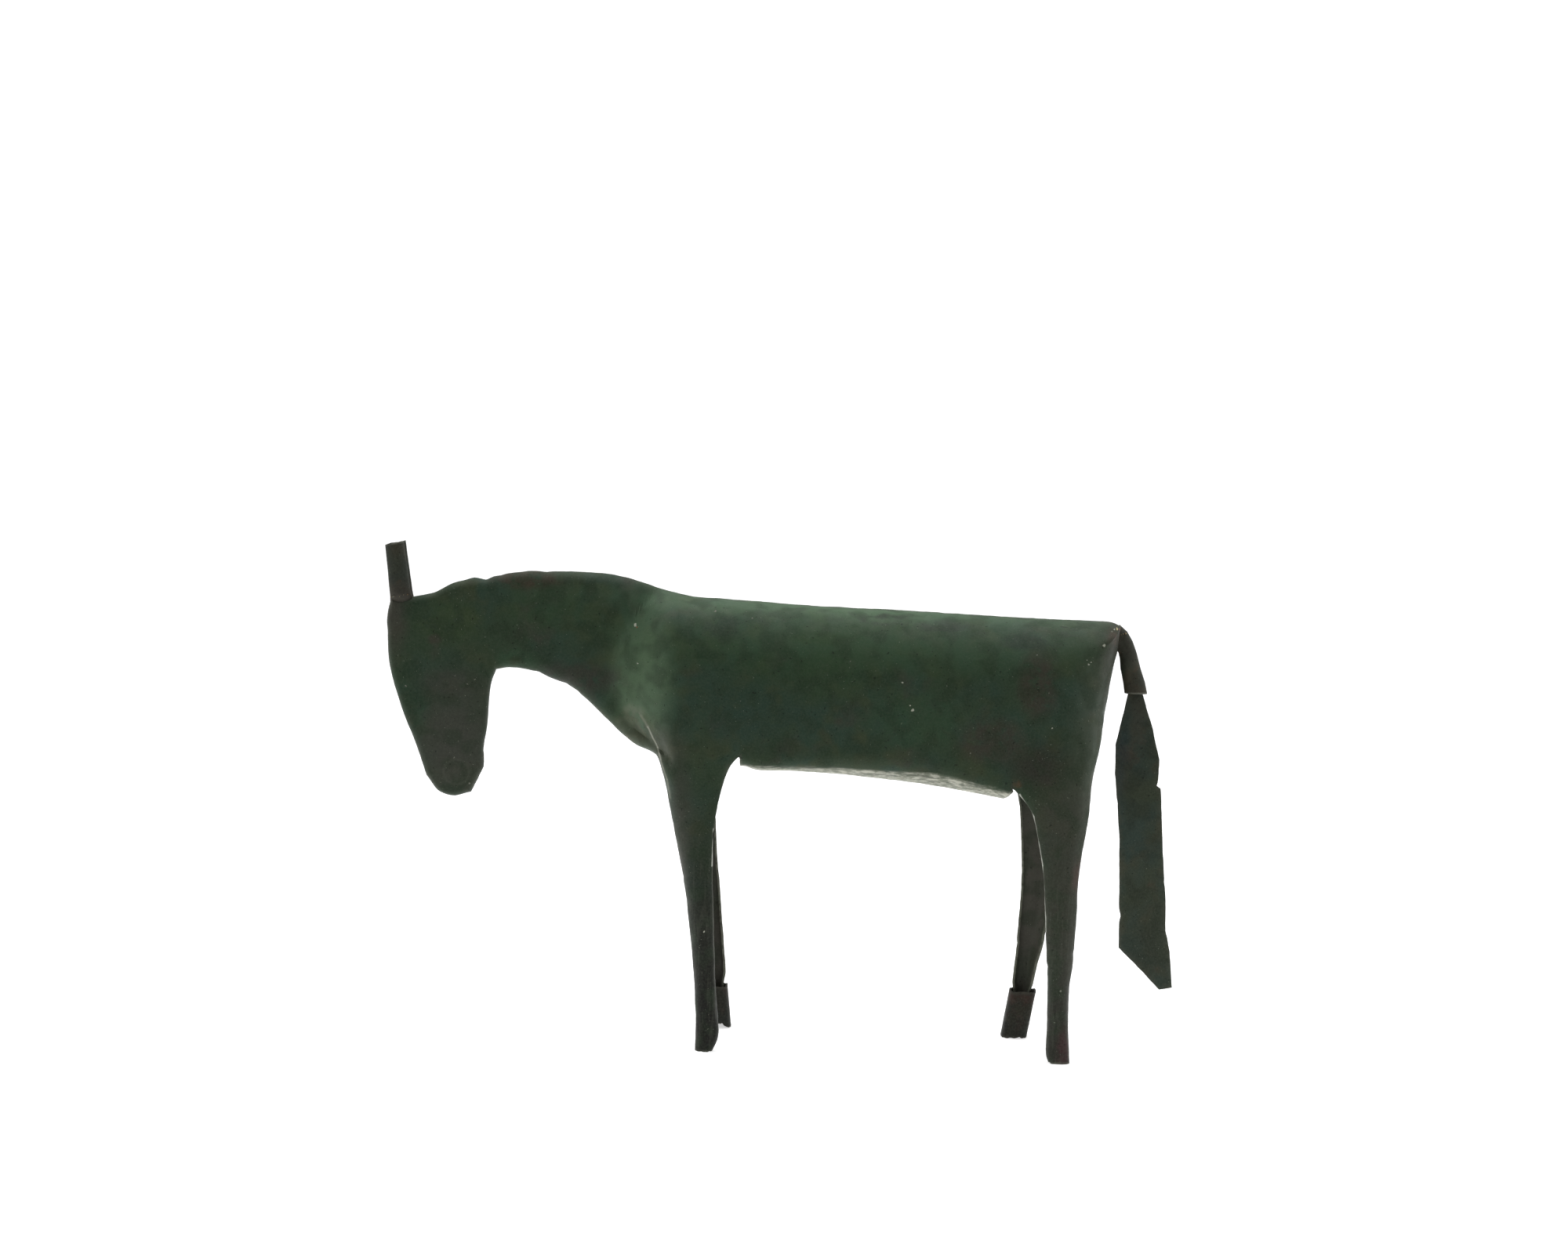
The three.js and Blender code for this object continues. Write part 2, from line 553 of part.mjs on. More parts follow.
function addPiece(group, name, geometry, material) {
  const mesh = new THREE.Mesh(geometry, material);
  mesh.name = name;
  group.add(mesh);
}

const horse = new THREE.Group();
addPiece(horse, "horse_body", bodyGeometry(), sheetMetal(BODY_PATINA));
addPiece(horse, "near_ear", earGeometry(-1), sheetMetal(EAR_PATINA));
addPiece(horse, "far_ear", earGeometry(1), sheetMetal(EAR_PATINA));
addPiece(horse, "tail_stem", stemGeometry(), sheetMetal(STEM_PATINA));
addPiece(horse, "tail_strip", stripGeometry(), sheetMetal(STRIP_PATINA));
addPiece(horse, "far_front_hoof", hoofGeometry(FRONT_HOOF), sheetMetal(HOOF_PATINA));
addPiece(horse, "far_rear_hoof", hoofGeometry(REAR_HOOF), sheetMetal(HOOF_PATINA));

export default horse;
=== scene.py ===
"""A small standing horse, cut, folded and rolled from sheet metal, on a white studio floor.

The shapes are written in millimetres and become metres when a mesh is made. The horse's near side, the one
the camera sees, is at negative Y; its head points to negative X and its tail to positive X.
"""

import math

import bpy
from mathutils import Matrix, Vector, noise
from mathutils.geometry import delaunay_2d_cdt
from mathutils.kdtree import KDTree


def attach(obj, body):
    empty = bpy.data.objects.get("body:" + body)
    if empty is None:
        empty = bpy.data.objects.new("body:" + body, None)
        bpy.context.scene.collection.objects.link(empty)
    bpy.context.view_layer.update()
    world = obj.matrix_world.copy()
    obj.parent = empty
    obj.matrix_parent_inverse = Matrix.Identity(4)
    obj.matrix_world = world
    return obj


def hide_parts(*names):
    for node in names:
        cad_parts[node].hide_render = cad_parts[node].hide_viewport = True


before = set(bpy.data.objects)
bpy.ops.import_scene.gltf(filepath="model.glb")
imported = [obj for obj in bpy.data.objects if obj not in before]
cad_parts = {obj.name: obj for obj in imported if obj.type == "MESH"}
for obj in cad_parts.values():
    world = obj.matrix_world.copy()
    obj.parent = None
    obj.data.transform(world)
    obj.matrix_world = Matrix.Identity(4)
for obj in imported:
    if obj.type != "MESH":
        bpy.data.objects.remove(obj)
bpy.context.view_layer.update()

MM = 0.001

# Widths of the body, and where along it they change

SHEET = 1
TRUNK_HALF = 28
NECK_HALF = 6.5
HEAD_HALF = 4.2
NECK_SPAN = (-128, -83)
BREAST_HEIGHT = 123.6
CROTCH_HEIGHT = 122
SHOULDER_TOP = 192
SHOULDER_NOSE = (-75, 154)
SHOULDER_SWEEP_UP = 18.9
SHOULDER_SWEEP_DOWN = (22, 1.7)
SHOULDER_END = -44
SHOULDER_ROUNDING = (0.12, 0.34)
LEG_ROOT_HEIGHTS = (135.6, 115.6)
LEG_ROOT_SPAN = (-66, -52)
RUMP_START = 100
RUMP_LENGTH = 50
RUMP_HEIGHTS = (113.6, 148.6)

# The low fold that runs from the breast down into the front edge of the front leg
RIDGE_LINE = [
    (-65.6, 143.8), (-59.8, 140), (-56.8, 135.5), (-52.5, 126.9), (-50.9, 122), (-47.8, 114.4),
    (-46.2, 106.7),
]
RIDGE_BY_HEIGHT = [(z, x) for x, z in RIDGE_LINE]
RIDGE_WIDTH = 1.5
RIDGE_HEIGHT = 0.9
RIDGE_FADE = 6

# The fold along each kind of edge: its radius in side view, and how far it turns in as a share of the half
# width, where 1 reaches the middle plane and is joined to the other side. Both begin with one value and give
# way to others along an axis, each written as (axis, from, to, value).
X = 0
Z = 1
FOOT_RADIUS = 3.4
CUT_RADIUS = (2.4, 4)
JOINED = (1,)
HEAD_FOLD = ((3.2,), JOINED)
THROAT_FOLD = ((3.2, (X, -123, -103, 6)), JOINED)
CREST_FOLD = ((3.2, (X, -150, -110, 6), (X, -78, -32, 30), (X, 105, 138, 11)), JOINED)
RUMP_FOLD = ((11, (Z, 182, 162, 8)), JOINED)
BELLY_FOLD = ((6, (X, -10, 40, 12), (X, 74, 92, 6)), JOINED)
CUT_FOLD = ((CUT_RADIUS[0], (Z, 0, 100, CUT_RADIUS[1])), (0.16, (Z, 0, 100, 0.04)))
FRONT_LEG_FOLD = (
    (FOOT_RADIUS, (Z, 0, 84, 6.5), (Z, 102, BREAST_HEIGHT, 6)),
    (0.14, (Z, 0, 45, 0.3), (Z, 102, BREAST_HEIGHT, 1)),
)
REAR_LEG_FOLD = (
    (FOOT_RADIUS, (Z, 0, 84, 6.5), (Z, 84, CROTCH_HEIGHT, 8)),
    (0.14, (Z, 0, 45, 0.3), (Z, 102, CROTCH_HEIGHT, 1)),
)

# The far legs, which stand a little differently and end inside sleeves

LEG_TOP = 112
FAR_FRONT_LEG = (-60, -16)
FAR_REAR_LEG = 96
FAR_SHIFT_SPAN = (100, 20)
FAR_FRONT_SET_BACK = 3.1
FAR_REAR_LEAN = 0.127
FAR_REAR_BOW = 1.2
FAR_BOW_SPAN = (60, 84)
FAR_BOW_FADE = 8
FAR_FOOT_TUCK = 1.4
LEG_LIFT = 1
LEG_PINCH = 0.25
LEG_PINCH_SPAN = (25, 18)
HOOF_MIDDLE = 22.5
HOOF_DEPTH = 5.4
HOOF_WALL = 0.8
HOOF_SQUARENESS = 3.4
HOOF_RINGS = 14
HOOF_AROUND = 56
HOOF_ROUGHNESS = (1.3, 0.5)
FRONT_HOOF = {"top": (-25.8, 18.2), "foot": (-24.4, 0), "half": (6.3, 5.6), "bite": 1.8}
REAR_HOOF = {"top": (108.9, 20.6), "foot": (105.7, 0), "half": (5.6, 5.75), "bite": 0}
BITE_SPREAD = 0.5

# The net of the body

STEP = 1.15
RINGS = 7
CORE_STEP = 2.1
CORE_CLEARANCE = 0.55
EDGE_SAMPLES = 3
CURVE_SAMPLES = 40
EVENING_LENGTH = 10
MITRE_LIMIT = 1.5
ON_MIDDLE = 1e-6
SAME_POINT = 1e-5
WORN_LENGTH = 0.9
RIM_SHARES = (0.25, 0.75)
RIM_BULGE = 0.14
RIM_BORDER = 0.75
SHARP_ANGLE = math.radians(38)

# Outlines in side view; the sheet lies to the right of each line's way
CREST = [
    (-168.2, 184.7), (-158.9, 185.8), (-149.6, 187.9), (-141.8, 192.1), (-133.8, 193.9), (-128, 194.2),
    (-119, 196.9), (-105.6, 198.2), (-88, 198.7), (-73, 197.8), (-61, 194.9), (-50, 191.7), (-37.7, 189.9),
    (-8, 188.6), (35, 187.4), (85, 186.2), (128, 185.6), (138, 185.2), (141.6, 183.8),
]
RUMP = [(141.6, 183.8), (140.9, 173.5), (139.7, 168), (138.4, 160), (136.8, 147), (135.3, 133), (132.9, 121)]
REAR_LEG_BACK = [
    (132.9, 121), (129, 98.7), (126.8, 81.4), (126.2, 58.9), (125.5, 40), (124.6, 31), (124.8, 14),
    (125.8, 0),
]
REAR_LEG_CUT = [
    (116.7, 0), (115.8, 3), (115.6, 12), (115.1, 33.5), (113.3, 57), (111.6, 78.5), (109.7, 89),
    (105.8, 104.8), (102, 110.7), (96.8, 116.1),
]
BELLY = [
    (93.2, 109.1), (84.6, 110.2), (57.8, 113.8), (22, 116.6), (3, 117.6), (-8.4, 117.4), (-12.4, 118),
    (-14.8, 118.9), (-17.3, 119),
]
REAR_FLAP_CORNER = (97, 115)
FRONT_FLAP_CORNER = (-17.4, 124.7)
FRONT_LEG_CUT = [
    (-18, 125.4), (-21.4, 120.9), (-25.3, 108.9), (-27.4, 94.8), (-27.7, 87), (-26.2, 51.2), (-23.6, 19.2),
    (-22.7, 5.9), (-24.9, 0),
]
FRONT_LEG_FRONT = [
    (-32.3, 0), (-32.6, 13.7), (-35.2, 42.4), (-38.1, 63.5), (-42.1, 83.7), (-47.8, 108.2), (-51.9, 119.4),
    (-53.6, 122.3), (-56, 123.6),
]
THROAT = [
    (-56, 123.6), (-63.3, 126.5), (-75.9, 137), (-84.3, 144.7), (-91.6, 150), (-98, 152.4),
    (-105.3, 155.1), (-116.7, 156.8), (-122.7, 155.8),
]
JAW = [(-122.7, 155.8), (-124.7, 149.4), (-125.9, 132.2), (-127.2, 123), (-127, 113.8)]
CHIN = [(-127, 113.8), (-132.2, 103)]
MUZZLE = [(-132.2, 103), (-139.5, 101.2), (-145.9, 102.9), (-151.4, 109.5)]
FACE = [
    (-151.4, 109.5), (-156.5, 123.3), (-163.6, 140.4), (-168.2, 155.8), (-169.5, 170), (-169.7, 177.3),
    (-168.2, 184.7),
]

# The edges round the outside in their order, each with its fold
OUTER_RUN = [
    (FRONT_LEG_FRONT, FRONT_LEG_FOLD), (THROAT, THROAT_FOLD), (JAW, HEAD_FOLD), (CHIN, HEAD_FOLD),
    (MUZZLE, HEAD_FOLD), (FACE, HEAD_FOLD), (CREST, CREST_FOLD), (RUMP, RUMP_FOLD),
    (REAR_LEG_BACK, REAR_LEG_FOLD),
]

# Nicks in an outline: place, half length along the edge, and depth, which is negative for a bump
NICKS = [
    (-128.2, 194.2, 1.3, 0.4), (-121.3, 195.2, 1.2, 0.45), (-104.8, 155.1, 1.8, 0.5),
    (-88, 147.4, 1.2, 0.3), (-133.2, 194, 3.2, -0.7), (-124.8, 195.2, 1.3, -0.3),
    (-109, 197.9, 4.5, -0.4), (-102.5, 198, 1.4, 0.3), (-93, 150.4, 1, 0.35), (-127.2, 121, 1, 0.25),
    (98, 116.5, 0.9, 0.6), (-28, 92, 1.4, 0.25), (115.2, 41, 1.3, 0.3), (-39.6, 73, 1.2, 0.25),
    (125.3, 46, 1.5, 0.3), (-23.8, 12, 1, 0.3),
]
STRIP_NICKS = [
    (160.3, 115.6, 1.4, 0.5), (147.4, 59.2, 1.6, 0.7), (165.2, 74, 1.1, 0.3), (144.6, 108, 1.3, 0.3),
]

# Unevenness: the length of the waves and how far they reach
EDGE_WANDER = ((7, 0.16), (2.6, 0.11))
DENTS = ((34, 0.34), (13, 0.13), (5.5, 0.045))
TUBE_DENT = (4, 0.08)
FOOT_TEAR = (1.9, 1.5)
# Where in the noise each of them is read: the two outlines have a level and a seed, the others a seed
BODY_SHEARS = (3, 4)
STRIP_SHEARS = (11, 6)
TEAR_SEED = 5
TUBE_DENT_SEED = 8
TUBE_RIM = {"circle": 2, "apart": 9, "length": 0.8, "seed": 2}
NICK_REACH = 3
FIXED_ENDS = 3
NOSTRIL = {"x": -138.3, "z": 111.8, "radius": 5.4, "groove": 0.8, "depth": 0.16}

# The upper border of the pale strip along the belly, a painted reflection of the white floor
REFLECTION_LINE = [
    (-17.5, 121.7), (3.7, 122.2), (24.5, 121.9), (47, 121.4), (62.5, 120.8), (73.1, 119.4), (84.9, 117.2),
    (98.5, 114.4),
]
REFLECTION_DEPTH = 14
REFLECTION_BORDER = 2.4
REFLECTION_AHEAD = 0.3

# Ears and tail

EAR_BASE = {"x": -163.5, "z": 186.2, "half": 4.5, "rise": 0.3}
EAR_TIP = {"x": -167, "z": 208.4, "half": 3.9, "rise": 0.9}
EAR_DEPTH = 2.5
EAR_APART = 3.2
EAR_WALL = 0.8
EAR_SINK = 2.6
EAR_RINGS = 30
EAR_ROOT_RINGS = 3
EAR_FILLET = 0.1
EAR_TUCK = 1.9
EAR_ROUGHNESS = (0, 0.35)
STEM_SECTIONS = [
    ((144.8, 155), (154.6, 155)), ((144.1, 159.5), (153.4, 160)), ((142.7, 165.5), (151.2, 166)),
    ((142.2, 169.7), (149.3, 172.4)), ((141.6, 172.2), (147.3, 177.4)), ((140.4, 173.8), (144.9, 181.4)),
    ((138.6, 174.6), (141.6, 184.2)),
]
STEM_DEPTH = 3.4
STEM_WALL = 0.9
STEM_RINGS = 5
STEM_ROUGHNESS = (0.2, 0)
STRIP = [
    (147.2, 159.5), (151.6, 159.5), (152.6, 154.6), (157, 141.5), (160.9, 127), (160.8, 115.9),
    (162.1, 114.6), (164.2, 87.6), (166.4, 67), (167, 53.1), (169.2, 44), (170.9, 28.6), (165.5, 27.7),
    (155, 38.2), (147.3, 45.4), (147, 60), (145.6, 93.5), (142.6, 120.4), (142.3, 132.7), (146.5, 154.6),
]
STRIP_STEP = 1.2
STRIP_FREE_BELOW = 150
STRIP_BOW = {"size": 0.9, "length": 120, "turn": (0.11, 0.035)}

# Small tools


def clamp01(t):
    return min(1.0, max(0.0, t))


def ease(t):
    t = clamp01(t)
    return t * t * (3 - 2 * t)


def mix(a, b, t):
    return a + (b - a) * t


def between(v, low, high):
    return ease((v - low) / (high - low))


def value_at(line, at):
    """The second number of a line's points where the first has a given value, or None past its ends."""
    for (a, start), (b, end) in zip(line, line[1:]):
        if min(a, b) <= at <= max(a, b):
            return mix(start, end, (at - a) / (b - a))
    return None


def ripple(place, size, seed=0.0):
    """Smooth noise from -1 to 1 with features of a given size."""
    return noise.noise(Vector(place) / size + Vector((seed, seed * 1.7, -seed)))


def smooth_line(points, step):
    """A centripetal Catmull-Rom line through points, cut in nearly equal steps."""
    through = [Vector(p) for p in points]
    fine = []
    for i in range(len(through) - 1):
        b, c = through[i], through[i + 1]
        a = through[i - 1] if i > 0 else b * 2 - c
        d = through[i + 2] if i + 2 < len(through) else c * 2 - b
        ab, bc, cd = ((q - p).length ** 0.5 for p, q in ((a, b), (b, c), (c, d)))
        start = ((b - a) / ab - (c - a) / (ab + bc) + (c - b) / bc) * bc
        end = ((c - b) / bc - (d - b) / (bc + cd) + (d - c) / cd) * bc
        for k in range(CURVE_SAMPLES):
            t = k / CURVE_SAMPLES
            place = b * (2 * t**3 - 3 * t**2 + 1) + start * (t**3 - 2 * t**2 + t)
            fine.append(place + c * (3 * t**2 - 2 * t**3) + end * (t**3 - t**2))
    fine.append(through[-1].copy())
    lengths = [0.0]
    for p, q in zip(fine, fine[1:]):
        lengths.append(lengths[-1] + (q - p).length)
    count = max(1, round(lengths[-1] / step))
    line = []
    at = 0
    for k in range(count + 1):
        target = lengths[-1] * k / count
        while at < len(fine) - 2 and lengths[at + 1] < target:
            at += 1
        span = lengths[at + 1] - lengths[at]
        line.append(fine[at].lerp(fine[at + 1], (target - lengths[at]) / span))
    return line


def add_object(name, data, place=(0, 0, 0)):
    made = bpy.data.objects.new(name, data)
    made.location = place
    bpy.context.scene.collection.objects.link(made)
    return made


def aimed(name, data, place, target):
    """A new object that looks from its place at a target."""
    made = add_object(name, data, place)
    made.rotation_euler = (Vector(target) - Vector(place)).to_track_quat("-Z", "Y").to_euler()
    return made


def make_mesh(name, places, faces, material, attributes):
    """A finished piece at the origin from places in millimetres."""
    mesh = bpy.data.meshes.new(name)
    mesh.from_pydata([p * MM for p in places], [], faces)
    for label, values in attributes.items():
        layer = mesh.attributes.new(label, "FLOAT", "POINT")
        layer.data.foreach_set("value", values)
    mesh.shade_smooth()
    mesh.set_sharp_from_angle(angle=SHARP_ANGLE)
    mesh.materials.append(material)
    return add_object(name, mesh)


# Widths and folds of the body


def shoulder_start(z):
    """Where the neck begins to widen: a line that bulges forward to the nose of the shoulder."""
    nose_x, nose_z = SHOULDER_NOSE
    if z > nose_z:
        return nose_x + SHOULDER_SWEEP_UP * ((z - nose_z) / (SHOULDER_TOP - nose_z)) ** 2
    reach, power = SHOULDER_SWEEP_DOWN
    return nose_x + reach * ((nose_z - z) / (nose_z - BREAST_HEIGHT)) ** power


def ramp(t, first, last):
    """Rises from 0 to 1 in a straight line that is rounded off over its first and last share."""
    t = clamp01(t)
    whole = 1 - first / 2 - last / 2
    if t < first:
        return t * t / (2 * first) / whole
    if t < 1 - last:
        return (t - first / 2) / whole
    return 1 - (1 - t) ** 2 / (2 * last) / whole


def ridge(x, z):
    middle = value_at(RIDGE_BY_HEIGHT, z)
    if middle is None:
        return 0.0
    top, bottom = RIDGE_LINE[0][1], RIDGE_LINE[-1][1]
    ends = between(z, top, top - RIDGE_FADE) * between(z, bottom, bottom + RIDGE_FADE)
    return RIDGE_HEIGHT * math.exp(-(((x - middle) / RIDGE_WIDTH) ** 2)) * ends


def side_width(x, z):
    """Half width of the horse at a point of its side, before the folds at its edges take it in."""
    neck = mix(HEAD_HALF, NECK_HALF, between(x, *NECK_SPAN))
    start = shoulder_start(max(z, BREAST_HEIGHT))
    rise = ramp((x - start) / (SHOULDER_END - start), *SHOULDER_ROUNDING)
    leg = between(z, *LEG_ROOT_HEIGHTS) * between(x, *LEG_ROOT_SPAN)
    rump = clamp01((x - RUMP_START) / RUMP_LENGTH) * between(z, *RUMP_HEIGHTS)
    return mix(neck, TRUNK_HALF, max(rise, leg)) * math.sqrt(1 - rump**2) + ridge(x, z)


def along(steps, p):
    """The radius or the turn of a fold at a point of its edge."""
    value = steps[0]
    for axis, start, end, after in steps[1:]:
        value = mix(value, after, between(p[axis], start, end))
    return value


def right_of(a, b):
    way = (b - a).normalized()
    return Vector((way.y, -way.x))


def fold_vectors(points, radii, ends):
    """Vectors from each point of a run to the inner end of its fold, mitred at corners, then evened out."""
    vectors = [Vector(ends[0])]
    for i in range(1, len(points) - 1):
        both = right_of(points[i - 1], points[i]) + right_of(points[i], points[i + 1])
        mitre = min(MITRE_LIMIT, 2 / both.length)
        vectors.append(both.normalized() * (mitre * radii[i]))
    vectors.append(Vector(ends[1]))
    for _ in range(round(2 * (EVENING_LENGTH / STEP) ** 2)):
        inner = [(vectors[i - 1] + vectors[i] * 2 + vectors[i + 1]) / 4 for i in range(1, len(vectors) - 1)]
        vectors = [vectors[0], *inner, vectors[-1]]
    return vectors


def shears(p, level, seed, nicks):
    """How far in hand shears stray at a place of an outline: a slow wander, and a few nicks."""
    shift = sum(size * ripple((p.x, p.y, level), length, seed) for length, size in EDGE_WANDER)
    for x, z, length, depth in nicks:
        away = math.hypot(p.x - x, p.y - z) / length
        if away < NICK_REACH:
            shift += depth * math.exp(-(away**2))
    return shift


def hand_cut(line, vectors):
    """A run's outline as hand shears leave it; its ends stay where they are."""
    moved = []
    for i, (p, v) in enumerate(zip(line, vectors)):
        fade = min(1.0, i / FIXED_ENDS, (len(line) - 1 - i) / FIXED_ENDS)
        moved.append(p + v.normalized() * (shears(p, *BODY_SHEARS, NICKS) * fade))
    return moved


# The net of one side


class Side:
    """One side of the horse as a flat net of points with half widths, and triangles between them."""

    def __init__(self):
        self.points = []
        self.worn = []
        self.triangles = []

    def add(self, p, half, worn=0.0):
        self.points.append((p.x, max(0.0, p.y), half))
        self.worn.append(worn)
        return len(self.points) - 1

    def add_run(self, edges, ends):
        """Rings of points from the edge of a run inwards over its fold."""
        folded = []
        for through, (radius, depth) in edges:
            start = 1 if folded else 0
            folded += [(p, along(radius, p), along(depth, p)) for p in smooth_line(through, STEP)[start:]]
        line, radii, depths = zip(*folded)
        vectors = fold_vectors(line, radii, ends)
        cut = hand_cut(line, vectors)
        rings = []
        arcs = [0.0] * len(line)
        for k in range(RINGS + 1):
            angle = k / RINGS * math.pi / 2
            inward = 1 - math.cos(angle)
            ring = []
            for i, p in enumerate(line):
                q = p + vectors[i] * inward + (cut[i] - p) * (1 - k / RINGS) ** 2
                half = side_width(q.x, q.y) * (1 - depths[i] * (1 - math.sin(angle)))
                if k == 0 and depths[i] >= 1:
                    half = 0.0
                if k:
                    x, z, last_half = self.points[rings[-1][i]]
                    arcs[i] += math.sqrt((q.x - x) ** 2 + (q.y - z) ** 2 + (half - last_half) ** 2)
                ring.append(self.add(q, half, math.exp(-arcs[i] / WORN_LENGTH)))
            rings.append(ring)
        for low, high in zip(rings, rings[1:]):
            for i in range(len(line) - 1):
                self.triangles.append((low[i], low[i + 1], high[i + 1]))
                self.triangles.append((low[i], high[i + 1], high[i]))
        return rings


def make_side():
    side = Side()
    foot, top = CUT_RADIUS
    rear_flap = Vector(REAR_FLAP_CORNER) - Vector(BELLY[0])
    front_flap = Vector(FRONT_FLAP_CORNER) - Vector(BELLY[-1])
    outer = side.add_run(OUTER_RUN, ((FOOT_RADIUS, 0), (-FOOT_RADIUS, 0)))
    rear_cut = side.add_run([(REAR_LEG_CUT, CUT_FOLD)], ((foot, 0), (top, top)))
    belly = side.add_run([(BELLY, BELLY_FOLD)], (rear_flap, front_flap))
    front_cut = side.add_run([(FRONT_LEG_CUT, CUT_FOLD)], ((-top, top), (-foot, 0)))
    loop = [
        *outer[-1], *rear_cut[-1], *[ring[-1] for ring in rear_cut[:-1]][::-1], *belly[-1],
        *[ring[0] for ring in front_cut[:-1]], *front_cut[-1],
    ]
    outline = [Vector(side.points[i][:2]) for i in loop]
    inside = core_points(outline)
    index = loop + [side.add(p, side_width(p.x, p.y)) for p in inside]
    for a, b, c in triangulated(outline, inside):
        side.triangles.append((index[a], index[c], index[b]))
    return side


def core_points(outline):
    """Staggered grid points inside an outline, kept clear of its edge."""
    edges = list(zip(outline, outline[1:] + outline[:1]))
    rim = KDTree(len(edges) * EDGE_SAMPLES)
    for i, (a, b) in enumerate(edges):
        for k in range(EDGE_SAMPLES):
            rim.insert(a.lerp(b, k / EDGE_SAMPLES).to_3d(), i)
    rim.balance()
    chosen = []
    row_height = CORE_STEP * math.sqrt(3) / 2
    for row in range(1, int(max(p.y for p in outline) // row_height) + 1):
        z = row * row_height
        crossed = [(a, b) for a, b in edges if (a.y > z) != (b.y > z)]
        marks = sorted(a.x + (b.x - a.x) * (z - a.y) / (b.y - a.y) for a, b in crossed)
        for left, right in zip(marks[::2], marks[1::2]):
            for column in range(math.ceil(left / CORE_STEP), int(right // CORE_STEP) + 1):
                p = Vector(((column + 0.5 * (row % 2)) * CORE_STEP, z))
                if left < p.x < right and rim.find(p.to_3d())[2] > CORE_STEP * CORE_CLEARANCE:
                    chosen.append(p)
    return chosen


def triangulated(outline, inside):
    """Triangles over an outline and the points inside it, all turning to the left."""
    points = outline + inside
    result = delaunay_2d_cdt(points, [], [list(range(len(outline)))], 1, SAME_POINT)
    triangles = []
    for face in result[2]:
        a, b, c = (result[3][v][0] for v in face)
        p, q, r = points[a], points[b], points[c]
        turn = (q.x - p.x) * (r.y - p.y) - (q.y - p.y) * (r.x - p.x)
        triangles.append((a, b, c) if turn > 0 else (a, c, b))
    return triangles


# Both sides as one thick sheet


def far_place(x, z, half):
    """Place of a point on the far side."""
    front_leg = FAR_FRONT_LEG[0] < x < FAR_FRONT_LEG[1] and z < BREAST_HEIGHT
    rear_leg = x > FAR_REAR_LEG and z < LEG_TOP
    if not front_leg and not rear_leg:
        return Vector((x, half, z))
    down = between(z, *FAR_SHIFT_SPAN)
    hoof = FRONT_HOOF if front_leg else REAR_HOOF
    bow = FAR_REAR_BOW * between(z, *FAR_BOW_SPAN) * between(z, LEG_TOP, LEG_TOP - FAR_BOW_FADE)
    shift = FAR_FRONT_SET_BACK * down if front_leg else -FAR_REAR_LEAN * (LEG_TOP - z) - bow
    pinch = LEG_PINCH * between(z, *LEG_PINCH_SPAN)
    middle = mix(hoof["foot"][0], hoof["top"][0], z / hoof["top"][1])
    return Vector((
        mix(x + shift, middle, pinch),
        mix(half - FAR_FOOT_TUCK * down, HOOF_MIDDLE, pinch),
        z + LEG_LIFT * clamp01(1 - z / LEG_PINCH_SPAN[0]),
    ))


def floor_reflection(place):
    """From 0 above the line where the belly's pale strip, a painted floor reflection, begins to 1 a little
    below it.
    """
    if not REFLECTION_LINE[0][0] < place.x < REFLECTION_LINE[-1][0] or place.z < CROTCH_HEIGHT - REFLECTION_DEPTH:
        return 0.0
    return clamp01((value_at(REFLECTION_LINE, place.x) - place.z) / REFLECTION_BORDER + REFLECTION_AHEAD)


def dent(place):
    """How far the sheet is beaten out at a place; the nostril is a ring pressed into it."""
    depth = sum(size * ripple(place, length, length) for length, size in DENTS)
    ring = abs(math.hypot(place.x - NOSTRIL["x"], place.z - NOSTRIL["z"]) - NOSTRIL["radius"])
    return depth - NOSTRIL["depth"] * math.exp(-((ring / NOSTRIL["groove"]) ** 2))


def torn_edge(place):
    """How far the torn lower edge of a foot stops above the ground; it touches it in places."""
    length, size = FOOT_TEAR
    return max(0.0, size * ripple((place.x, place.y, 0), length, TEAR_SEED))


def corner_normals(places, faces):
    normals = [Vector((0, 0, 0)) for _ in places]
    for a, b, c in faces:
        facing = (places[b] - places[a]).cross(places[c] - places[a])
        for v in (a, b, c):
            normals[v] += facing
    return [n.normalized() for n in normals]


def make_body(material):
    side = make_side()
    places = [Vector((x, -half, z)) for x, z, half in side.points]
    worn = list(side.worn)
    far = []
    for i, (x, z, half) in enumerate(side.points):
        if half < ON_MIDDLE:
            far.append(i)
        else:
            far.append(len(places))
            places.append(far_place(x, z, half))
            worn.append(side.worn[i])
    outside = [(a, c, b) for a, b, c in side.triangles]
    outside += [tuple(far[v] for v in t) for t in side.triangles]
    for i, n in enumerate(corner_normals(places, outside)):
        on_ground = places[i].z <= 0
        places[i] = places[i] + n * dent(places[i])
        places[i].z = torn_edge(places[i]) if on_ground else max(0.0, places[i].z)
    faces, places, worn, cut = thicken(places, outside, worn)
    # How much of the painted floor reflection lies on each point
    pale = [floor_reflection(p) for p in places]
    return make_mesh("horse_sheet", places, faces, material, {"worn": worn, "cut": cut, "floor_reflection": pale})


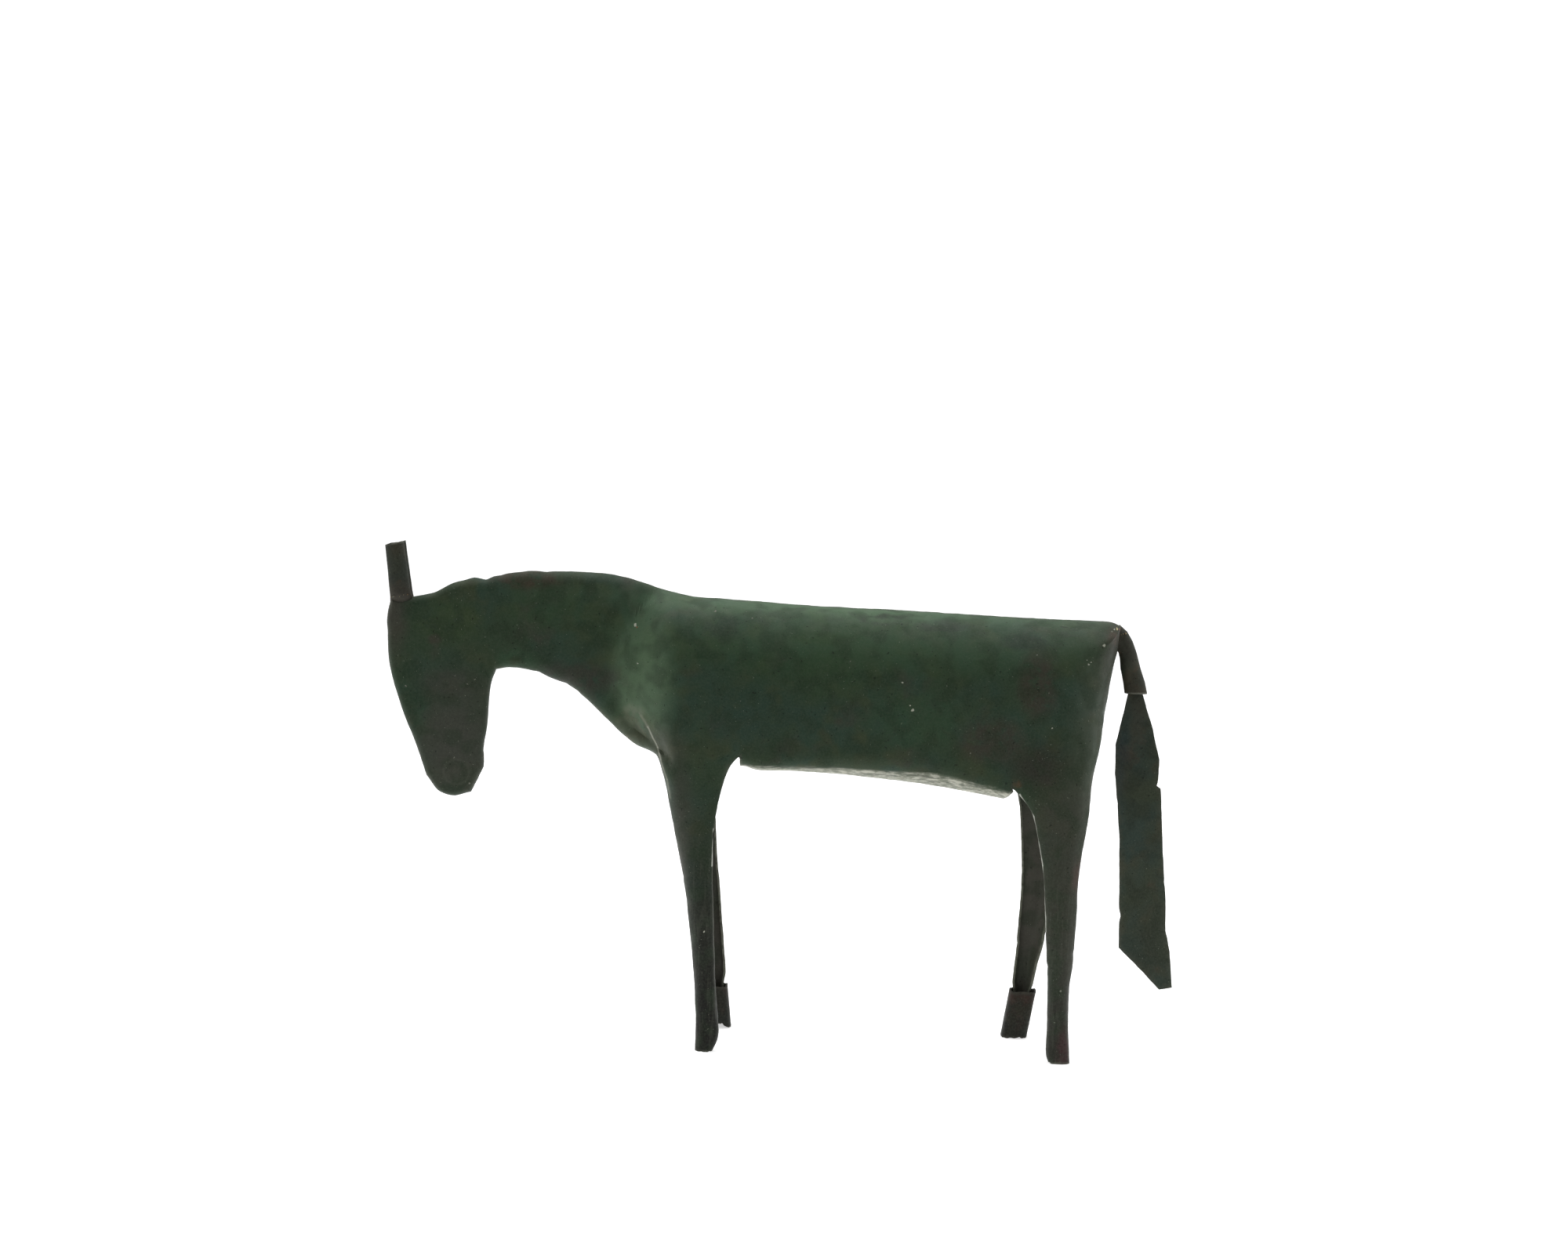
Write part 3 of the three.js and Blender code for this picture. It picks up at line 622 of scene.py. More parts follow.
def thicken(places, outside, worn):
    """The inner skin a sheet's thickness in, and a slightly rounded cut edge between the two skins."""
    count = len(places)
    normals = corner_normals(places, outside)
    places = list(places)
    worn = worn * 2
    for i in range(count):
        inner = places[i] - normals[i] * SHEET
        if places[i].z < FOOT_TEAR[1]:
            inner.z = places[i].z
        places.append(inner)
    faces = list(outside) + [(a + count, c + count, b + count) for a, b, c in outside]
    directed = {(t[k], t[(k + 1) % 3]) for t in outside for k in range(3)}
    following = {a: b for a, b in directed if (b, a) not in directed}
    before = {b: a for a, b in following.items()}
    cut = [0.0] * len(places)
    across = {}
    for v in following:
        way = places[following[v]] - places[before[v]]
        out = way.cross(normals[v]).normalized() * RIM_BULGE
        across[v] = [v]
        for share in RIM_SHARES:
            place = places[v].lerp(places[v + count], share) + out
            place.z = max(0.0, place.z)
            across[v].append(len(places))
            places.append(place)
            worn.append(1.0)
            cut.append(1.0)
        across[v].append(v + count)
        cut[v] = cut[v + count] = RIM_BORDER
    for a, b in following.items():
        left, right = across[a], across[b]
        for k in range(3):
            faces.append((right[k], left[k], left[k + 1], right[k + 1]))
    return faces, places, worn, cut


# Rolled ears, tail and sleeves


def outward(middle, place):
    away = place - middle
    away.z = 0.0
    return away.normalized() if away.length > 0 else away


def make_tube(
    name, sections, wall, material, around=40, squareness=2.0, rough_ends=(0.0, 0.0), bare_base=True, bite=0.0
):
    """A rolled tube, open at both ends, through sections of (middle, half width vector, half depth). A bite
    is how far the lower rim is torn away on the near side."""
    power = 2 / squareness
    last = len(sections) - 1
    roughness = {0: rough_ends[0], last: rough_ends[1]}
    dent_length, dent_size = TUBE_DENT

    def rounded(v):
        return math.copysign(abs(v) ** power, v)

    def tube_place(s, angle, inset):
        middle, across, depth = sections[s]
        length = across.length
        place = middle + across * (rounded(math.cos(angle)) * (length - inset) / length)
        place.y += rounded(math.sin(angle)) * (depth - inset)
        if roughness.get(s):
            circle = Vector((math.cos(angle), math.sin(angle))) * TUBE_RIM["circle"]
            lean = ripple((*circle, s * TUBE_RIM["apart"]), TUBE_RIM["length"], TUBE_RIM["seed"])
            place.z += roughness[s] * (lean if s else abs(lean))
        torn = math.exp(-(((angle - 1.5 * math.pi) / BITE_SPREAD) ** 2))
        place.z += bite * torn * (1 - s / last) ** 3
        return place + outward(middle, place) * dent_size * ripple(place, dent_length, TUBE_DENT_SEED)

    angles = [i / around * 2 * math.pi for i in range(around)]
    places = [tube_place(s, a, inset) for inset in (0.0, wall) for s in range(last + 1) for a in angles]
    inner = len(sections) * around
    top = last * around
    faces = []
    for i in range(around):
        j = (i + 1) % around
        for low in range(0, top, around):
            high = low + around
            faces.append((low + i, low + j, high + j, high + i))
            faces.append((inner + low + j, inner + low + i, inner + high + i, inner + high + j))
        faces.append((inner + i, inner + j, j, i))
        faces.append((top + i, top + j, inner + top + j, inner + top + i))
    bare = (0, last) if bare_base else (last,)
    edge = [1.0 if (k // around) % (last + 1) in bare else 0.0 for k in range(len(places))]
    return make_mesh(name, places, faces, material, {"cut": edge, "worn": edge})


def spread(sections, between_each):
    """More sections in between, evenly spaced from each given section to the next."""
    filled = []
    for (m0, a0, d0), (m1, a1, d1) in zip(sections, sections[1:]):
        for k in range(between_each):
            t = k / between_each
            filled.append((m0.lerp(m1, t), a0.lerp(a1, t), mix(d0, d1, t)))
    filled.append(sections[-1])
    return filled


def make_ear(name, side, material):
    ends = []
    for end, sink in ((EAR_BASE, EAR_SINK), (EAR_TIP, 0)):
        middle = Vector((end["x"], side * EAR_APART, end["z"])) - Vector((0, 0, sink))
        ends.append((middle, Vector((end["half"], 0, end["rise"])), EAR_DEPTH))
    sections = []
    for s, (middle, half, depth) in enumerate(spread(ends, EAR_RINGS)):
        near_root = math.exp(-((s / EAR_ROOT_RINGS) ** 2))
        flare = 1 + EAR_FILLET * near_root
        tucked = middle - Vector((0, side * EAR_TUCK * near_root, 0))
        sections.append((tucked, half * flare, depth * flare))
    return make_tube(name, sections, EAR_WALL, material, rough_ends=EAR_ROUGHNESS, bare_base=False)


def make_stem(material):
    ends = []
    for front, back in STEM_SECTIONS:
        a, b = Vector((front[0], 0, front[1])), Vector((back[0], 0, back[1]))
        ends.append(((a + b) / 2, (b - a) / 2, STEM_DEPTH))
    rings = spread(ends, STEM_RINGS)
    return make_tube("tail_tube", rings, STEM_WALL, material, rough_ends=STEM_ROUGHNESS)


def make_hoof(name, sizes, material):
    ends = []
    for (x, z), half in zip((sizes["foot"], sizes["top"]), sizes["half"]):
        ends.append((Vector((x, HOOF_MIDDLE, z)), Vector((half, 0, 0)), HOOF_DEPTH))
    return make_tube(
        name, spread(ends, HOOF_RINGS), HOOF_WALL, material, around=HOOF_AROUND, squareness=HOOF_SQUARENESS,
        rough_ends=HOOF_ROUGHNESS, bite=sizes["bite"],
    )


def make_strip(material):
    """The flat tail, a sheet with a hand-cut outline, very slightly bowed and twisted."""
    loop = []
    for a, b in zip(STRIP, STRIP[1:] + STRIP[:1]):
        a, b = Vector(a), Vector(b)
        count = max(1, round((b - a).length / STRIP_STEP))
        loop += [a.lerp(b, k / count) for k in range(count)]
    outline = []
    for i, p in enumerate(loop):
        inward = right_of(loop[i - 1], loop[(i + 1) % len(loop)])
        shift = shears(p, *STRIP_SHEARS, STRIP_NICKS) if p.y < STRIP_FREE_BELOW else 0.0
        outline.append(p + inward * shift)

    def bowed(p):
        down = clamp01((STRIP_FREE_BELOW - p.y) / STRIP_BOW["length"])
        turn_x, turn_z = STRIP_BOW["turn"]
        bow = STRIP_BOW["size"] * down * math.sin(p.x * turn_x + p.y * turn_z)
        return Vector((p.x, -SHEET / 2 + bow, p.y))

    inside = core_points(outline)
    places = [bowed(p) for p in outline + inside]
    faces, places, worn, cut = thicken(places, triangulated(outline, inside), [0.0] * len(places))
    return make_mesh("tail_sheet", places, faces, material, {"worn": worn, "cut": cut})


# Nodes


def linear(code):
    """An sRGB hex colour as a linear one."""
    parts = [int(code[k:k + 2], 16) / 255 for k in (0, 2, 4)]
    return (*(c / 12.92 if c <= 0.04045 else ((c + 0.055) / 1.055) ** 2.4 for c in parts), 1.0)


def add_node(tree, kind, inputs=None, **settings):
    """One node with its settings. Each of its inputs gets a value or a link from another node's output."""
    node = tree.nodes.new(kind)
    for name, value in settings.items():
        setattr(node, name, value)
    for name, value in (inputs or {}).items():
        if isinstance(value, bpy.types.NodeSocket):
            tree.links.new(value, node.inputs[name])
        else:
            node.inputs[name].default_value = value
    return node


def blended(tree, below, above, share):
    """Colour above over colour below, by a share."""
    return add_node(tree, "ShaderNodeMix", {0: share, 6: below, 7: above}, data_type="RGBA").outputs[2]


def calculated(tree, operation, a, b):
    return add_node(tree, "ShaderNodeMath", {0: a, 1: b}, operation=operation).outputs[0]


def vector_node(tree, operation, inputs, output="Vector"):
    return add_node(tree, "ShaderNodeVectorMath", inputs, operation=operation).outputs[output]


def soft_step(tree, value, low, high, top=1.0):
    """0 where a value is at low, rising smoothly to top where it is at high."""
    inputs = {"Value": value, "From Min": low, "From Max": high, "To Max": top}
    return add_node(tree, "ShaderNodeMapRange", inputs, interpolation_type="SMOOTHSTEP").outputs[0]


def noise_node(tree, where, size_mm, detail, output="Fac", **more):
    inputs = {"Vector": where, "Scale": 1 / (size_mm * MM), "Detail": detail, **more}
    return add_node(tree, "ShaderNodeTexNoise", inputs).outputs[output]


def grain(tree, where, size_mm, low, high, detail=2.0, shift=(0, 0, 0), stretch=(1, 1, 1)):
    """A mask from noise of a real size: 0 where the noise is under low, 1 where it is over high."""
    moved = add_node(tree, "ShaderNodeMapping", {"Vector": where, "Location": shift, "Scale": stretch})
    pattern = noise_node(tree, moved.outputs[0], size_mm, detail, Roughness=NOISE_ROUGHNESS)
    return soft_step(tree, pattern, low, high)


def patch(tree, side_view, centre, radii, soft=0.5):
    """A mask that is 1 inside an oval place in side view, in millimetres, and fades out at its border."""
    scale = (1 / (radii[0] * MM), 0, 1 / (radii[1] * MM))
    place = (-centre[0] / radii[0], 0, -centre[1] / radii[1])
    oval = vector_node(tree, "MULTIPLY_ADD", {0: side_view, 1: scale, 2: place})
    return soft_step(tree, vector_node(tree, "LENGTH", {0: oval}, "Value"), 1 + soft, 1 - soft)


def streak(tree, side_view, start, end, width):
    """A mask that is 1 along a straight line in side view and fades out at its border."""
    way = (end[0] - start[0], end[1] - start[1])
    squared = (way[0] ** 2 + way[1] ** 2) * MM
    from_start = vector_node(tree, "SUBTRACT", {0: side_view, 1: (start[0] * MM, 0, start[1] * MM)})
    flat = vector_node(tree, "MULTIPLY", {0: from_start, 1: (1, 0, 1)})
    forward = vector_node(tree, "DOT_PRODUCT", {0: flat, 1: (way[0] / squared, 0, way[1] / squared)}, "Value")
    share = add_node(tree, "ShaderNodeClamp", {"Value": forward}).outputs[0]
    nearest = vector_node(tree, "SCALE", {0: (way[0] * MM, 0, way[1] * MM), "Scale": share})
    return soft_step(tree, vector_node(tree, "DISTANCE", {0: flat, 1: nearest}, "Value"), width * MM, 0.0)


def displaced(tree, where, size_mm, amount_mm):
    """Positions pushed about by noise of a real size, so that borders drawn from them come out uneven."""
    pattern = noise_node(tree, where, size_mm, 2.0, "Color")
    middle = vector_node(tree, "SUBTRACT", {0: pattern, 1: (0.5,) * 3})
    offset = vector_node(tree, "SCALE", {0: middle, "Scale": 2 * amount_mm * MM})
    return vector_node(tree, "ADD", {0: where, 1: offset})


def vertex_value(tree, name):
    return add_node(tree, "ShaderNodeAttribute", attribute_name=name).outputs["Fac"]


# The patinated sheet

ALONG_BODY = (0.12, 1, 1)
ALONG_LEGS = (1, 1, 0.1)

# Noise that breaks up each layer: size in mm, where the mask begins and is full, detail, shift, stretch
NOISE = {
    "teal": (26, 0.4, 0.62),
    "olive": (15, 0.48, 0.7, 2, (0.3, 0, 0)),
    "blotches": (6, 0.25, 0.55, 2, (0, 0.4, 0.1)),
    "dim": (9, 0.44, 0.66, 1, (0.6, 0, 0.8)),
    "fine": (0.9, 0.36, 0.66, 3),
    "leg_scuffs": (1.3, 0.48, 0.68, 2, (0, 0.2, 0), ALONG_LEGS),
    "pale_specks": (0.7, 0.74, 0.78, 1, (0.11, 0.5, 0)),
    "dark_specks": (1.3, 0.7, 0.76, 1, (0.9, 0.1, 0)),
    "edge": (3, 0.36, 0.6, 2, (0.2, 0.2, 0)),
    "rim": (2.2, 0.3, 0.55, 2, (0.5, 0.9, 0)),
    "belly_border": (2.4, 0.3, 0.7, 3, (0, 0, 0), ALONG_BODY),
    "belly_clouds": (3, 0.4, 0.6, 3),
    "belly_scuffs": (1.2, 0.5, 0.62, 3, (0.3, 0, 0.5), ALONG_BODY),
    "satin": (6, 0.3, 0.7, 3, (0.4, 0.4, 0)),
    "tarnish": (1.1, 0.38, 0.62, 3),
}
STAIN_GRAIN = (3, (0.7, 0.2, 0))
# How strongly a layer covers what lies below it; those left out cover it fully
STRENGTH = {
    "brown": 0.7, "dim": 0.45, "fine": 0.08, "leg_scuffs": 0.16, "pale_specks": 0.45, "dark_specks": 0.6,
    "edge": 0.4, "rim": 0.7, "belly_scuffs": 0.5,
}
# Colours of the layers that are the same on every piece
TONES = {"fine": "666b5e", "leg_scuffs": "55574d", "pale_specks": "878c7d", "dark_specks": "12160f"}
BELLY_SCUFF = "4c4f44"
SCUFF_FADE = 0.7
# Borders of layers: the size of the noise that pushes them about and how far, in mm, and their softness
UNEVEN = {"mottle": (6, 1.6), "belly": (9, 2), "streaks": (4, 0.3), "chips": (0.9, 0.55)}
SOFTNESS = {"washes": 0.8, "far_tone_and_painted_light": 0.5, "patches": 0.5, "rings": 0.1, "chips": 0.3}
# Marks of the near side lie before this place across the horse, and those of the far side behind this one
NEAR_SIDE = -0.5
FAR_SIDE = 6
BELLY_BORDER = (0.15, 0.95)
BELLY_LEAST = 0.5
SHEET_GLOSS = 0.15
BRASS_TONES = ("b8ab80", "5c4a33")
BRASS_METAL = 0.6
BRASS_ROUGHNESS = 0.42
SHEET_BUMP = {"size": 0.8, "detail": 3, "strength": 0.25, "height": 0.12}
NOISE_ROUGHNESS = 0.6


class Coat:
    """The colour of a sheet, built up layer by layer in the node tree of its material."""

    def __init__(self, tree, looks):
        self.tree = tree
        self.looks = looks
        self.colour = linear(looks["base"])

    def over(self, tone, *shares):
        """One more colour, over what is there by the product of its shares."""
        share = shares[0]
        for other in shares[1:]:
            share = calculated(self.tree, "MULTIPLY", share, other)
        above = linear(tone) if isinstance(tone, str) else tone
        self.colour = blended(self.tree, self.colour, above, share)

    def layer(self, name, where, *shares):
        """A layer that is broken up by the noise of its name."""
        tone = self.looks.get(name) or TONES[name]
        strength = [STRENGTH[name]] if name in STRENGTH else []
        self.over(tone, *shares, grain(self.tree, where, *NOISE[name]), *strength)


def mottle(coat, warped, far):
    """Clouds of teal, olive and brown, and the places where the photo's tone differs."""
    tree, looks = coat.tree, coat.looks
    coat.layer("teal", warped)
    coat.layer("olive", warped)
    coat.over(looks["brown"], grain(tree, warped, *looks["stain"], *STAIN_GRAIN), STRENGTH["brown"])
    # Washes and patches carry some painted light as well as colour; the far-side washes lighten the shaded
    # inner faces of the far legs
    shares = {"washes": (), "far_tone_and_painted_light": (far,), "patches": (grain(tree, warped, *NOISE["blotches"]),)}
    for kind, share in shares.items():
        for x, z, wide, high, tone, amount in looks.get(kind, ()):
            coat.over(tone, patch(tree, warped, (x, z), (wide, high), SOFTNESS[kind]), *share, amount)
    coat.layer("dim", warped)


def scuff(coat, place, up):
    """Fine grain, scuffs drawn down the legs, and specks."""
    coat.layer("fine", place)
    if "scuffs_below" in coat.looks:
        top = coat.looks["scuffs_below"] * MM
        coat.layer("leg_scuffs", place, soft_step(coat.tree, up, top, top * SCUFF_FADE))
    coat.layer("pale_specks", place)
    coat.layer("dark_specks", place)


def wear(coat, place):
    """Folds worn paler, bare cut edges, and the pale strip along the belly, a painted floor reflection with
    scuffs.
    """
    tree, looks = coat.tree, coat.looks
    coat.layer("edge", place, vertex_value(tree, "worn"))
    coat.layer("rim", place, vertex_value(tree, "cut"))
    # The pale belly strip: a painted reflection of the white floor, clouded and broken by scuffs
    if "pale" in looks:
        uneven = grain(tree, displaced(tree, place, *UNEVEN["belly"]), *NOISE["belly_border"])
        uneven = calculated(tree, "ADD", uneven, BELLY_LEAST)
        strip = calculated(tree, "MULTIPLY", vertex_value(tree, "floor_reflection"), uneven)
        light, dark = (linear(tone) for tone in looks["pale"])
        tone = blended(tree, light, dark, grain(tree, place, *NOISE["belly_clouds"]))
        scuffs = grain(tree, place, *NOISE["belly_scuffs"])
        strength = calculated(tree, "MULTIPLY", scuffs, STRENGTH["belly_scuffs"])
        tone = blended(tree, tone, linear(BELLY_SCUFF), strength)
        coat.over(tone, soft_step(tree, strip, *BELLY_BORDER))


def mark(coat, place, near):
    """Streaks, some of bare edge and some of painted highlight, the nostril's ring, and chips, on the near
    side.
    """
    tree, looks = coat.tree, coat.looks
    wavering = displaced(tree, place, *UNEVEN["streaks"])
    for start, end, width, tone, amount in looks.get("streaks", ()):
        coat.over(tone, streak(tree, wavering, start, end, width), near, amount)
    for x, z, radius, width, tone, amount in looks.get("rings", ()):
        sizes = (radius + width / 2, radius - width / 2)
        outer, inner = (patch(tree, place, (x, z), (size, size), SOFTNESS["rings"]) for size in sizes)
        coat.over(tone, calculated(tree, "SUBTRACT", outer, inner), near, amount)
    chipped = displaced(tree, place, *UNEVEN["chips"])
    for tone, chips in looks.get("chips", {}).items():
        for x, z, radius in chips:
            coat.over(tone, patch(tree, chipped, (x, z), (radius, radius), SOFTNESS["chips"]), near)


def patinated_sheet(name, looks):
    """Mild steel under an old dark green patina: satin, mottled olive and teal, browner where it was handled
    or heated, with pale worn edges and pin-prick specks where the patina has come off. Some looks add painted
    light to the colour: highlights, shade lifted by paler tones, and a reflection of the floor."""
    material, tree = new_material(name)
    place = add_node(tree, "ShaderNodeTexCoord").outputs["Object"]
    warped = displaced(tree, place, *UNEVEN["mottle"])
    _, across, up = add_node(tree, "ShaderNodeSeparateXYZ", {0: place}).outputs
    coat = Coat(tree, looks)
    mottle(coat, warped, calculated(tree, "GREATER_THAN", across, FAR_SIDE * MM))
    scuff(coat, place, up)
    wear(coat, place)
    mark(coat, place, calculated(tree, "LESS_THAN", across, NEAR_SIDE * MM))

    smooth, rough = looks["rough"]
    satin = {"Value": grain(tree, warped, *NOISE["satin"]), "To Min": smooth, "To Max": rough}
    height = noise_node(tree, place, SHEET_BUMP["size"], SHEET_BUMP["detail"], Roughness=NOISE_ROUGHNESS)
    bump = {"Height": height, "Strength": SHEET_BUMP["strength"], "Distance": SHEET_BUMP["height"] * MM}
    finish(tree, {
        "Base Color": coat.colour,
        "Roughness": add_node(tree, "ShaderNodeMapRange", satin).outputs[0],
        "Normal": add_node(tree, "ShaderNodeBump", bump).outputs[0],
        "Metallic": 0.0,
        "Specular IOR Level": SHEET_GLOSS,
    })
    return material


def brazing_brass():
    """Brass brazing metal left as small beads: warm pale yellow, half tarnished, fairly dull."""
    material, tree = new_material("tarnished_brazing_brass")
    place = add_node(tree, "ShaderNodeTexCoord").outputs["Object"]
    bright, dull = (linear(tone) for tone in BRASS_TONES)
    colour = blended(tree, bright, dull, grain(tree, place, *NOISE["tarnish"]))
    finish(tree, {"Base Color": colour, "Metallic": BRASS_METAL, "Roughness": BRASS_ROUGHNESS})
    return material


def new_material(name):
    material = bpy.data.materials.new(name)
    material.use_nodes = True
    material.node_tree.nodes.clear()
    return material, material.node_tree


def finish(tree, inputs):
    surface = add_node(tree, "ShaderNodeBsdfPrincipled", inputs).outputs[0]
    add_node(tree, "ShaderNodeOutputMaterial", {"Surface": surface})


CHIP = "a3a596"
DULL_CHIP = "6b6d62"
BRASS_SPOT = "b9ad84"
ORANGE = "5f4128"
BARE_EDGE = "c4c6bc"
# Painted highlights along the ridge fold on the breast, full and soft
RIDGE_HIGHLIGHT = "a8a99a"
SOFT_RIDGE_HIGHLIGHT = "8f9180"

# Seen from the side, in millimetres. Washes are soft ovals (x, z, half width, half height, colour, share),
# patches the same but broken up, and streaks are lines, some of bare edge and some of painted highlight
# (start, end, width, colour, share). Rings are (x, z, radius, width, colour, share). Chips are small round
# places (x, z, radius) without patina, by colour. Washes and patches that are painted light are marked below.
BODY_LOOKS = {
    "base": "2d3d2b", "teal": "2b3e31", "olive": "353f2b", "brown": "393830", "dim": "21301f",
    # pale: the light and dark tones of the painted floor reflection along the belly
    "edge": "45483c", "rim": "6c6e62", "pale": ("b0b0a2", "7c8071"), "scuffs_below": 100,
    "stain": (21, 0.56, 0.74), "rough": (0.5, 0.66),
    "washes": [
        (-139, 124, 18, 25, "3d3d37", 0.85), (-166, 178, 5, 15, "403c35", 0.75),
        # Painted light: the first wash here is a painted highlight on the shoulder bulge that turns to the
        # light, the second paints light over the shaded crease at the top of the front leg
        (-60, 157, 12, 26, "4f664b", 0.8), (-50, 128, 7, 7, "46473a", 0.7),
        # Painted light: a paler band along the upper side of the trunk, and a green painted sheen along the
        # top of the back, both where light from above falls
        (30, 175, 88, 11, "364f35", 0.65), (45, 189.5, 105, 5, "5a765a", 0.6),
        # The first wash here is painted light on the right side of the rump, which turns to the light
        (130, 130, 8, 40, "555b4f", 0.45), (137, 168, 5, 18, "3a3a32", 0.6),
        (140, 177, 3.6, 8, "2b2924", 0.8), (-31, 36, 15, 52, "1b1a17", 0.9),
        # The second and third washes here are a painted highlight down the front edge of the near front leg
        (-28, 6, 12, 28, "0e0d0b", 0.9), (-42, 88, 4, 34, "3b3a34", 0.75), (-39, 100, 5, 12, "42443a", 0.3),
        (120, 52, 14, 62, "33322b", 0.85), (121, 8, 12, 26, "211f1b", 0.8),
        (119, 104, 12, 16, "3d3c34", 0.45), (106, 126, 11, 9, "272620", 0.75),
    ],
    # Far legs: a grey-brown tone, laid on lighter as painted light on their inner faces, which lie in shade
    "far_tone_and_painted_light": [(-22, 40, 12, 60, "4b4942", 0.85), (110, 50, 16, 62, "4e4c45", 0.85)],
    "patches": [
        (-111, 195, 14, 4, "42352c", 0.7), (-88, 154, 19, 6, "37362f", 0.75),
        (106, 160, 8, 13, "3a332c", 0.8), (87, 136, 13, 9, "38322b", 0.75),
        (55, 144, 20, 11, "2c4630", 0.5), (10, 160, 30, 10, "2c4229", 0.5),
        (-114, 160, 8, 5, "33503a", 0.4), (-157, 140, 6, 12, "28402f", 0.6),
        (-143, 176, 14, 8, "36452a", 0.6), (-141, 149, 14, 6, "3b3a34", 0.5),
        (-100, 183, 20, 8, "30452c", 0.5), (-12, 145, 24, 14, "263a30", 0.6),
        # The first patch here is paler tone with painted light, lifting the shade in the hollow between
        # throat and ridge
        (-64, 133, 8, 8, "4a4636", 0.6), (123, 8, 3.5, 8, "3c2226", 0.7), (126, 80, 3, 8, "44302c", 0.6),
        (-149, 168.4, 2.6, 2.2, "3c3530", 0.6), (41, 184, 9, 1.8, "2c332a", 0.7),
        (67, 182, 11, 1.8, "2b322b", 0.6), (101, 177, 12, 3, "28322c", 0.6),
        (117, 180.2, 3, 0.8, "2b362a", 0.5), (14, 176, 12, 2.6, "2f4428", 0.6),
        (-26, 179, 9, 5, "26352a", 0.6), (138.5, 180.5, 4, 3.5, "4b4036", 0.7),
        (98, 118.7, 1.7, 2, ORANGE, 0.4), (-21.5, 113, 2.6, 8, "63645a", 0.45),
        # Paler tone with painted light on the breast: a painted highlight where the ridge begins, and lifted
        # shade next to it
        (-63, 141.6, 4.5, 2.6, "747a69", 0.35), (-67, 135, 4, 3, "5d6a56", 0.4),
    ],
    "streaks": [
        # The five streaks along RIDGE_LINE are painted highlight over the ridge fold and its shaded crease;
        # the rest are bare cut edges and a dark line on the back
        (RIDGE_LINE[1], RIDGE_LINE[2], 1, SOFT_RIDGE_HIGHLIGHT, 0.3),
        (RIDGE_LINE[2], RIDGE_LINE[3], 0.6, RIDGE_HIGHLIGHT, 0.5), (RIDGE_LINE[3], RIDGE_LINE[4], 0.6, RIDGE_HIGHLIGHT, 0.5),
        (RIDGE_LINE[4], RIDGE_LINE[5], 0.6, SOFT_RIDGE_HIGHLIGHT, 0.5),
        (RIDGE_LINE[5], RIDGE_LINE[6], 0.8, SOFT_RIDGE_HIGHLIGHT, 0.3),
        ((-27.4, 94.8), (-27.5, 79), 0.5, BARE_EDGE, 0.95), ((-27.5, 79), (-25.7, 40), 0.3, "6b6c62", 0.4),
        ((-25.7, 40), (-24, 14), 0.3, "54554c", 0.3), ((99.8, 113.8), (106, 104.5), 0.5, BARE_EDGE, 0.8),
        ((106, 104.5), (110.6, 84), 0.5, BARE_EDGE, 0.8), ((110.6, 84), (113.3, 56), 0.4, BARE_EDGE, 0.7),
        ((115.4, 183.3), (118.3, 183.2), 0.35, "1d261a", 0.7),
    ],
    "rings": [(NOSTRIL["x"], NOSTRIL["z"], NOSTRIL["radius"], 1, "6a6b60", 0.1)],
    "chips": {
        CHIP: [
            (53.7, 147.7, 0.62), (52.6, 149.6, 0.34), (49, 159.1, 0.42), (-63.8, 177.7, 0.6),
            (-61.9, 162.1, 0.28), (133, 176.8, 0.55), (126.6, 168.9, 0.34), (127.6, 169.9, 0.26),
            (125.9, 170.6, 0.22), (112.1, 142.1, 0.3), (-30, 51.2, 0.36), (138.1, 183, 0.3),
        ],
        DULL_CHIP: [
            (-30, 185.1, 0.3), (-14.5, 182.9, 0.26), (111.8, 135.2, 0.26), (104.9, 172.1, 0.3),
            (110.1, 156.9, 0.26), (27.2, 167, 0.26), (78.5, 130.5, 0.28), (-160.5, 147.9, 0.34),
            (-134.6, 149.5, 0.3), (-131.3, 151.6, 0.26), (-139.4, 118, 0.32), (-132.6, 107.1, 0.4),
            (136.8, 182.3, 0.3), (120.4, 31.2, 0.4),
        ],
        BRASS_SPOT: [(139.4, 183.2, 0.4)],
        "6a4f38": [(-63, 176.9, 0.42)],
        "7a4a44": [(140.9, 182.7, 0.5)],
    },
}
EAR_LOOKS = {
    "base": "33332f", "teal": "31362f", "olive": "3b392f", "brown": "43382d", "dim": "282824",
    "edge": "55544a", "rim": "77796e", "stain": (6, 0.55, 0.7), "rough": (0.5, 0.64),
    "washes": [(-164, 186, 7, 5, "3f3a32", 0.8), (-166, 200, 3, 5, "3a3d31", 0.5)],
    "chips": {
        CHIP: [(-159.2, 189.4, 0.45)], BRASS_SPOT: [(-159, 187.4, 0.3)], DULL_CHIP: [(-166.9, 185.6, 0.3)],
    },
}
STEM_LOOKS = {
    "base": "3f3f36", "teal": "383f35", "olive": "494539", "brown": "4f4234", "dim": "2a2a24",
    "edge": "5a5a4f", "rim": "85877b", "stain": (6, 0.56, 0.72), "rough": (0.5, 0.62),
}
STRIP_LOOKS = {
    "base": "343b2d", "teal": "303d36", "olive": "3c3d2e", "brown": "433a2e", "dim": "232a20",
    "edge": "3c4035", "rim": "474a40", "stain": (14, 0.56, 0.72), "rough": (0.5, 0.64),
    "washes": [
        (144, 126, 3.5, 18, "2a383d", 0.5), (162, 45, 12, 22, "2a3026", 0.6),
        (151, 148, 4, 13, "403e35", 0.65),
    ],
}
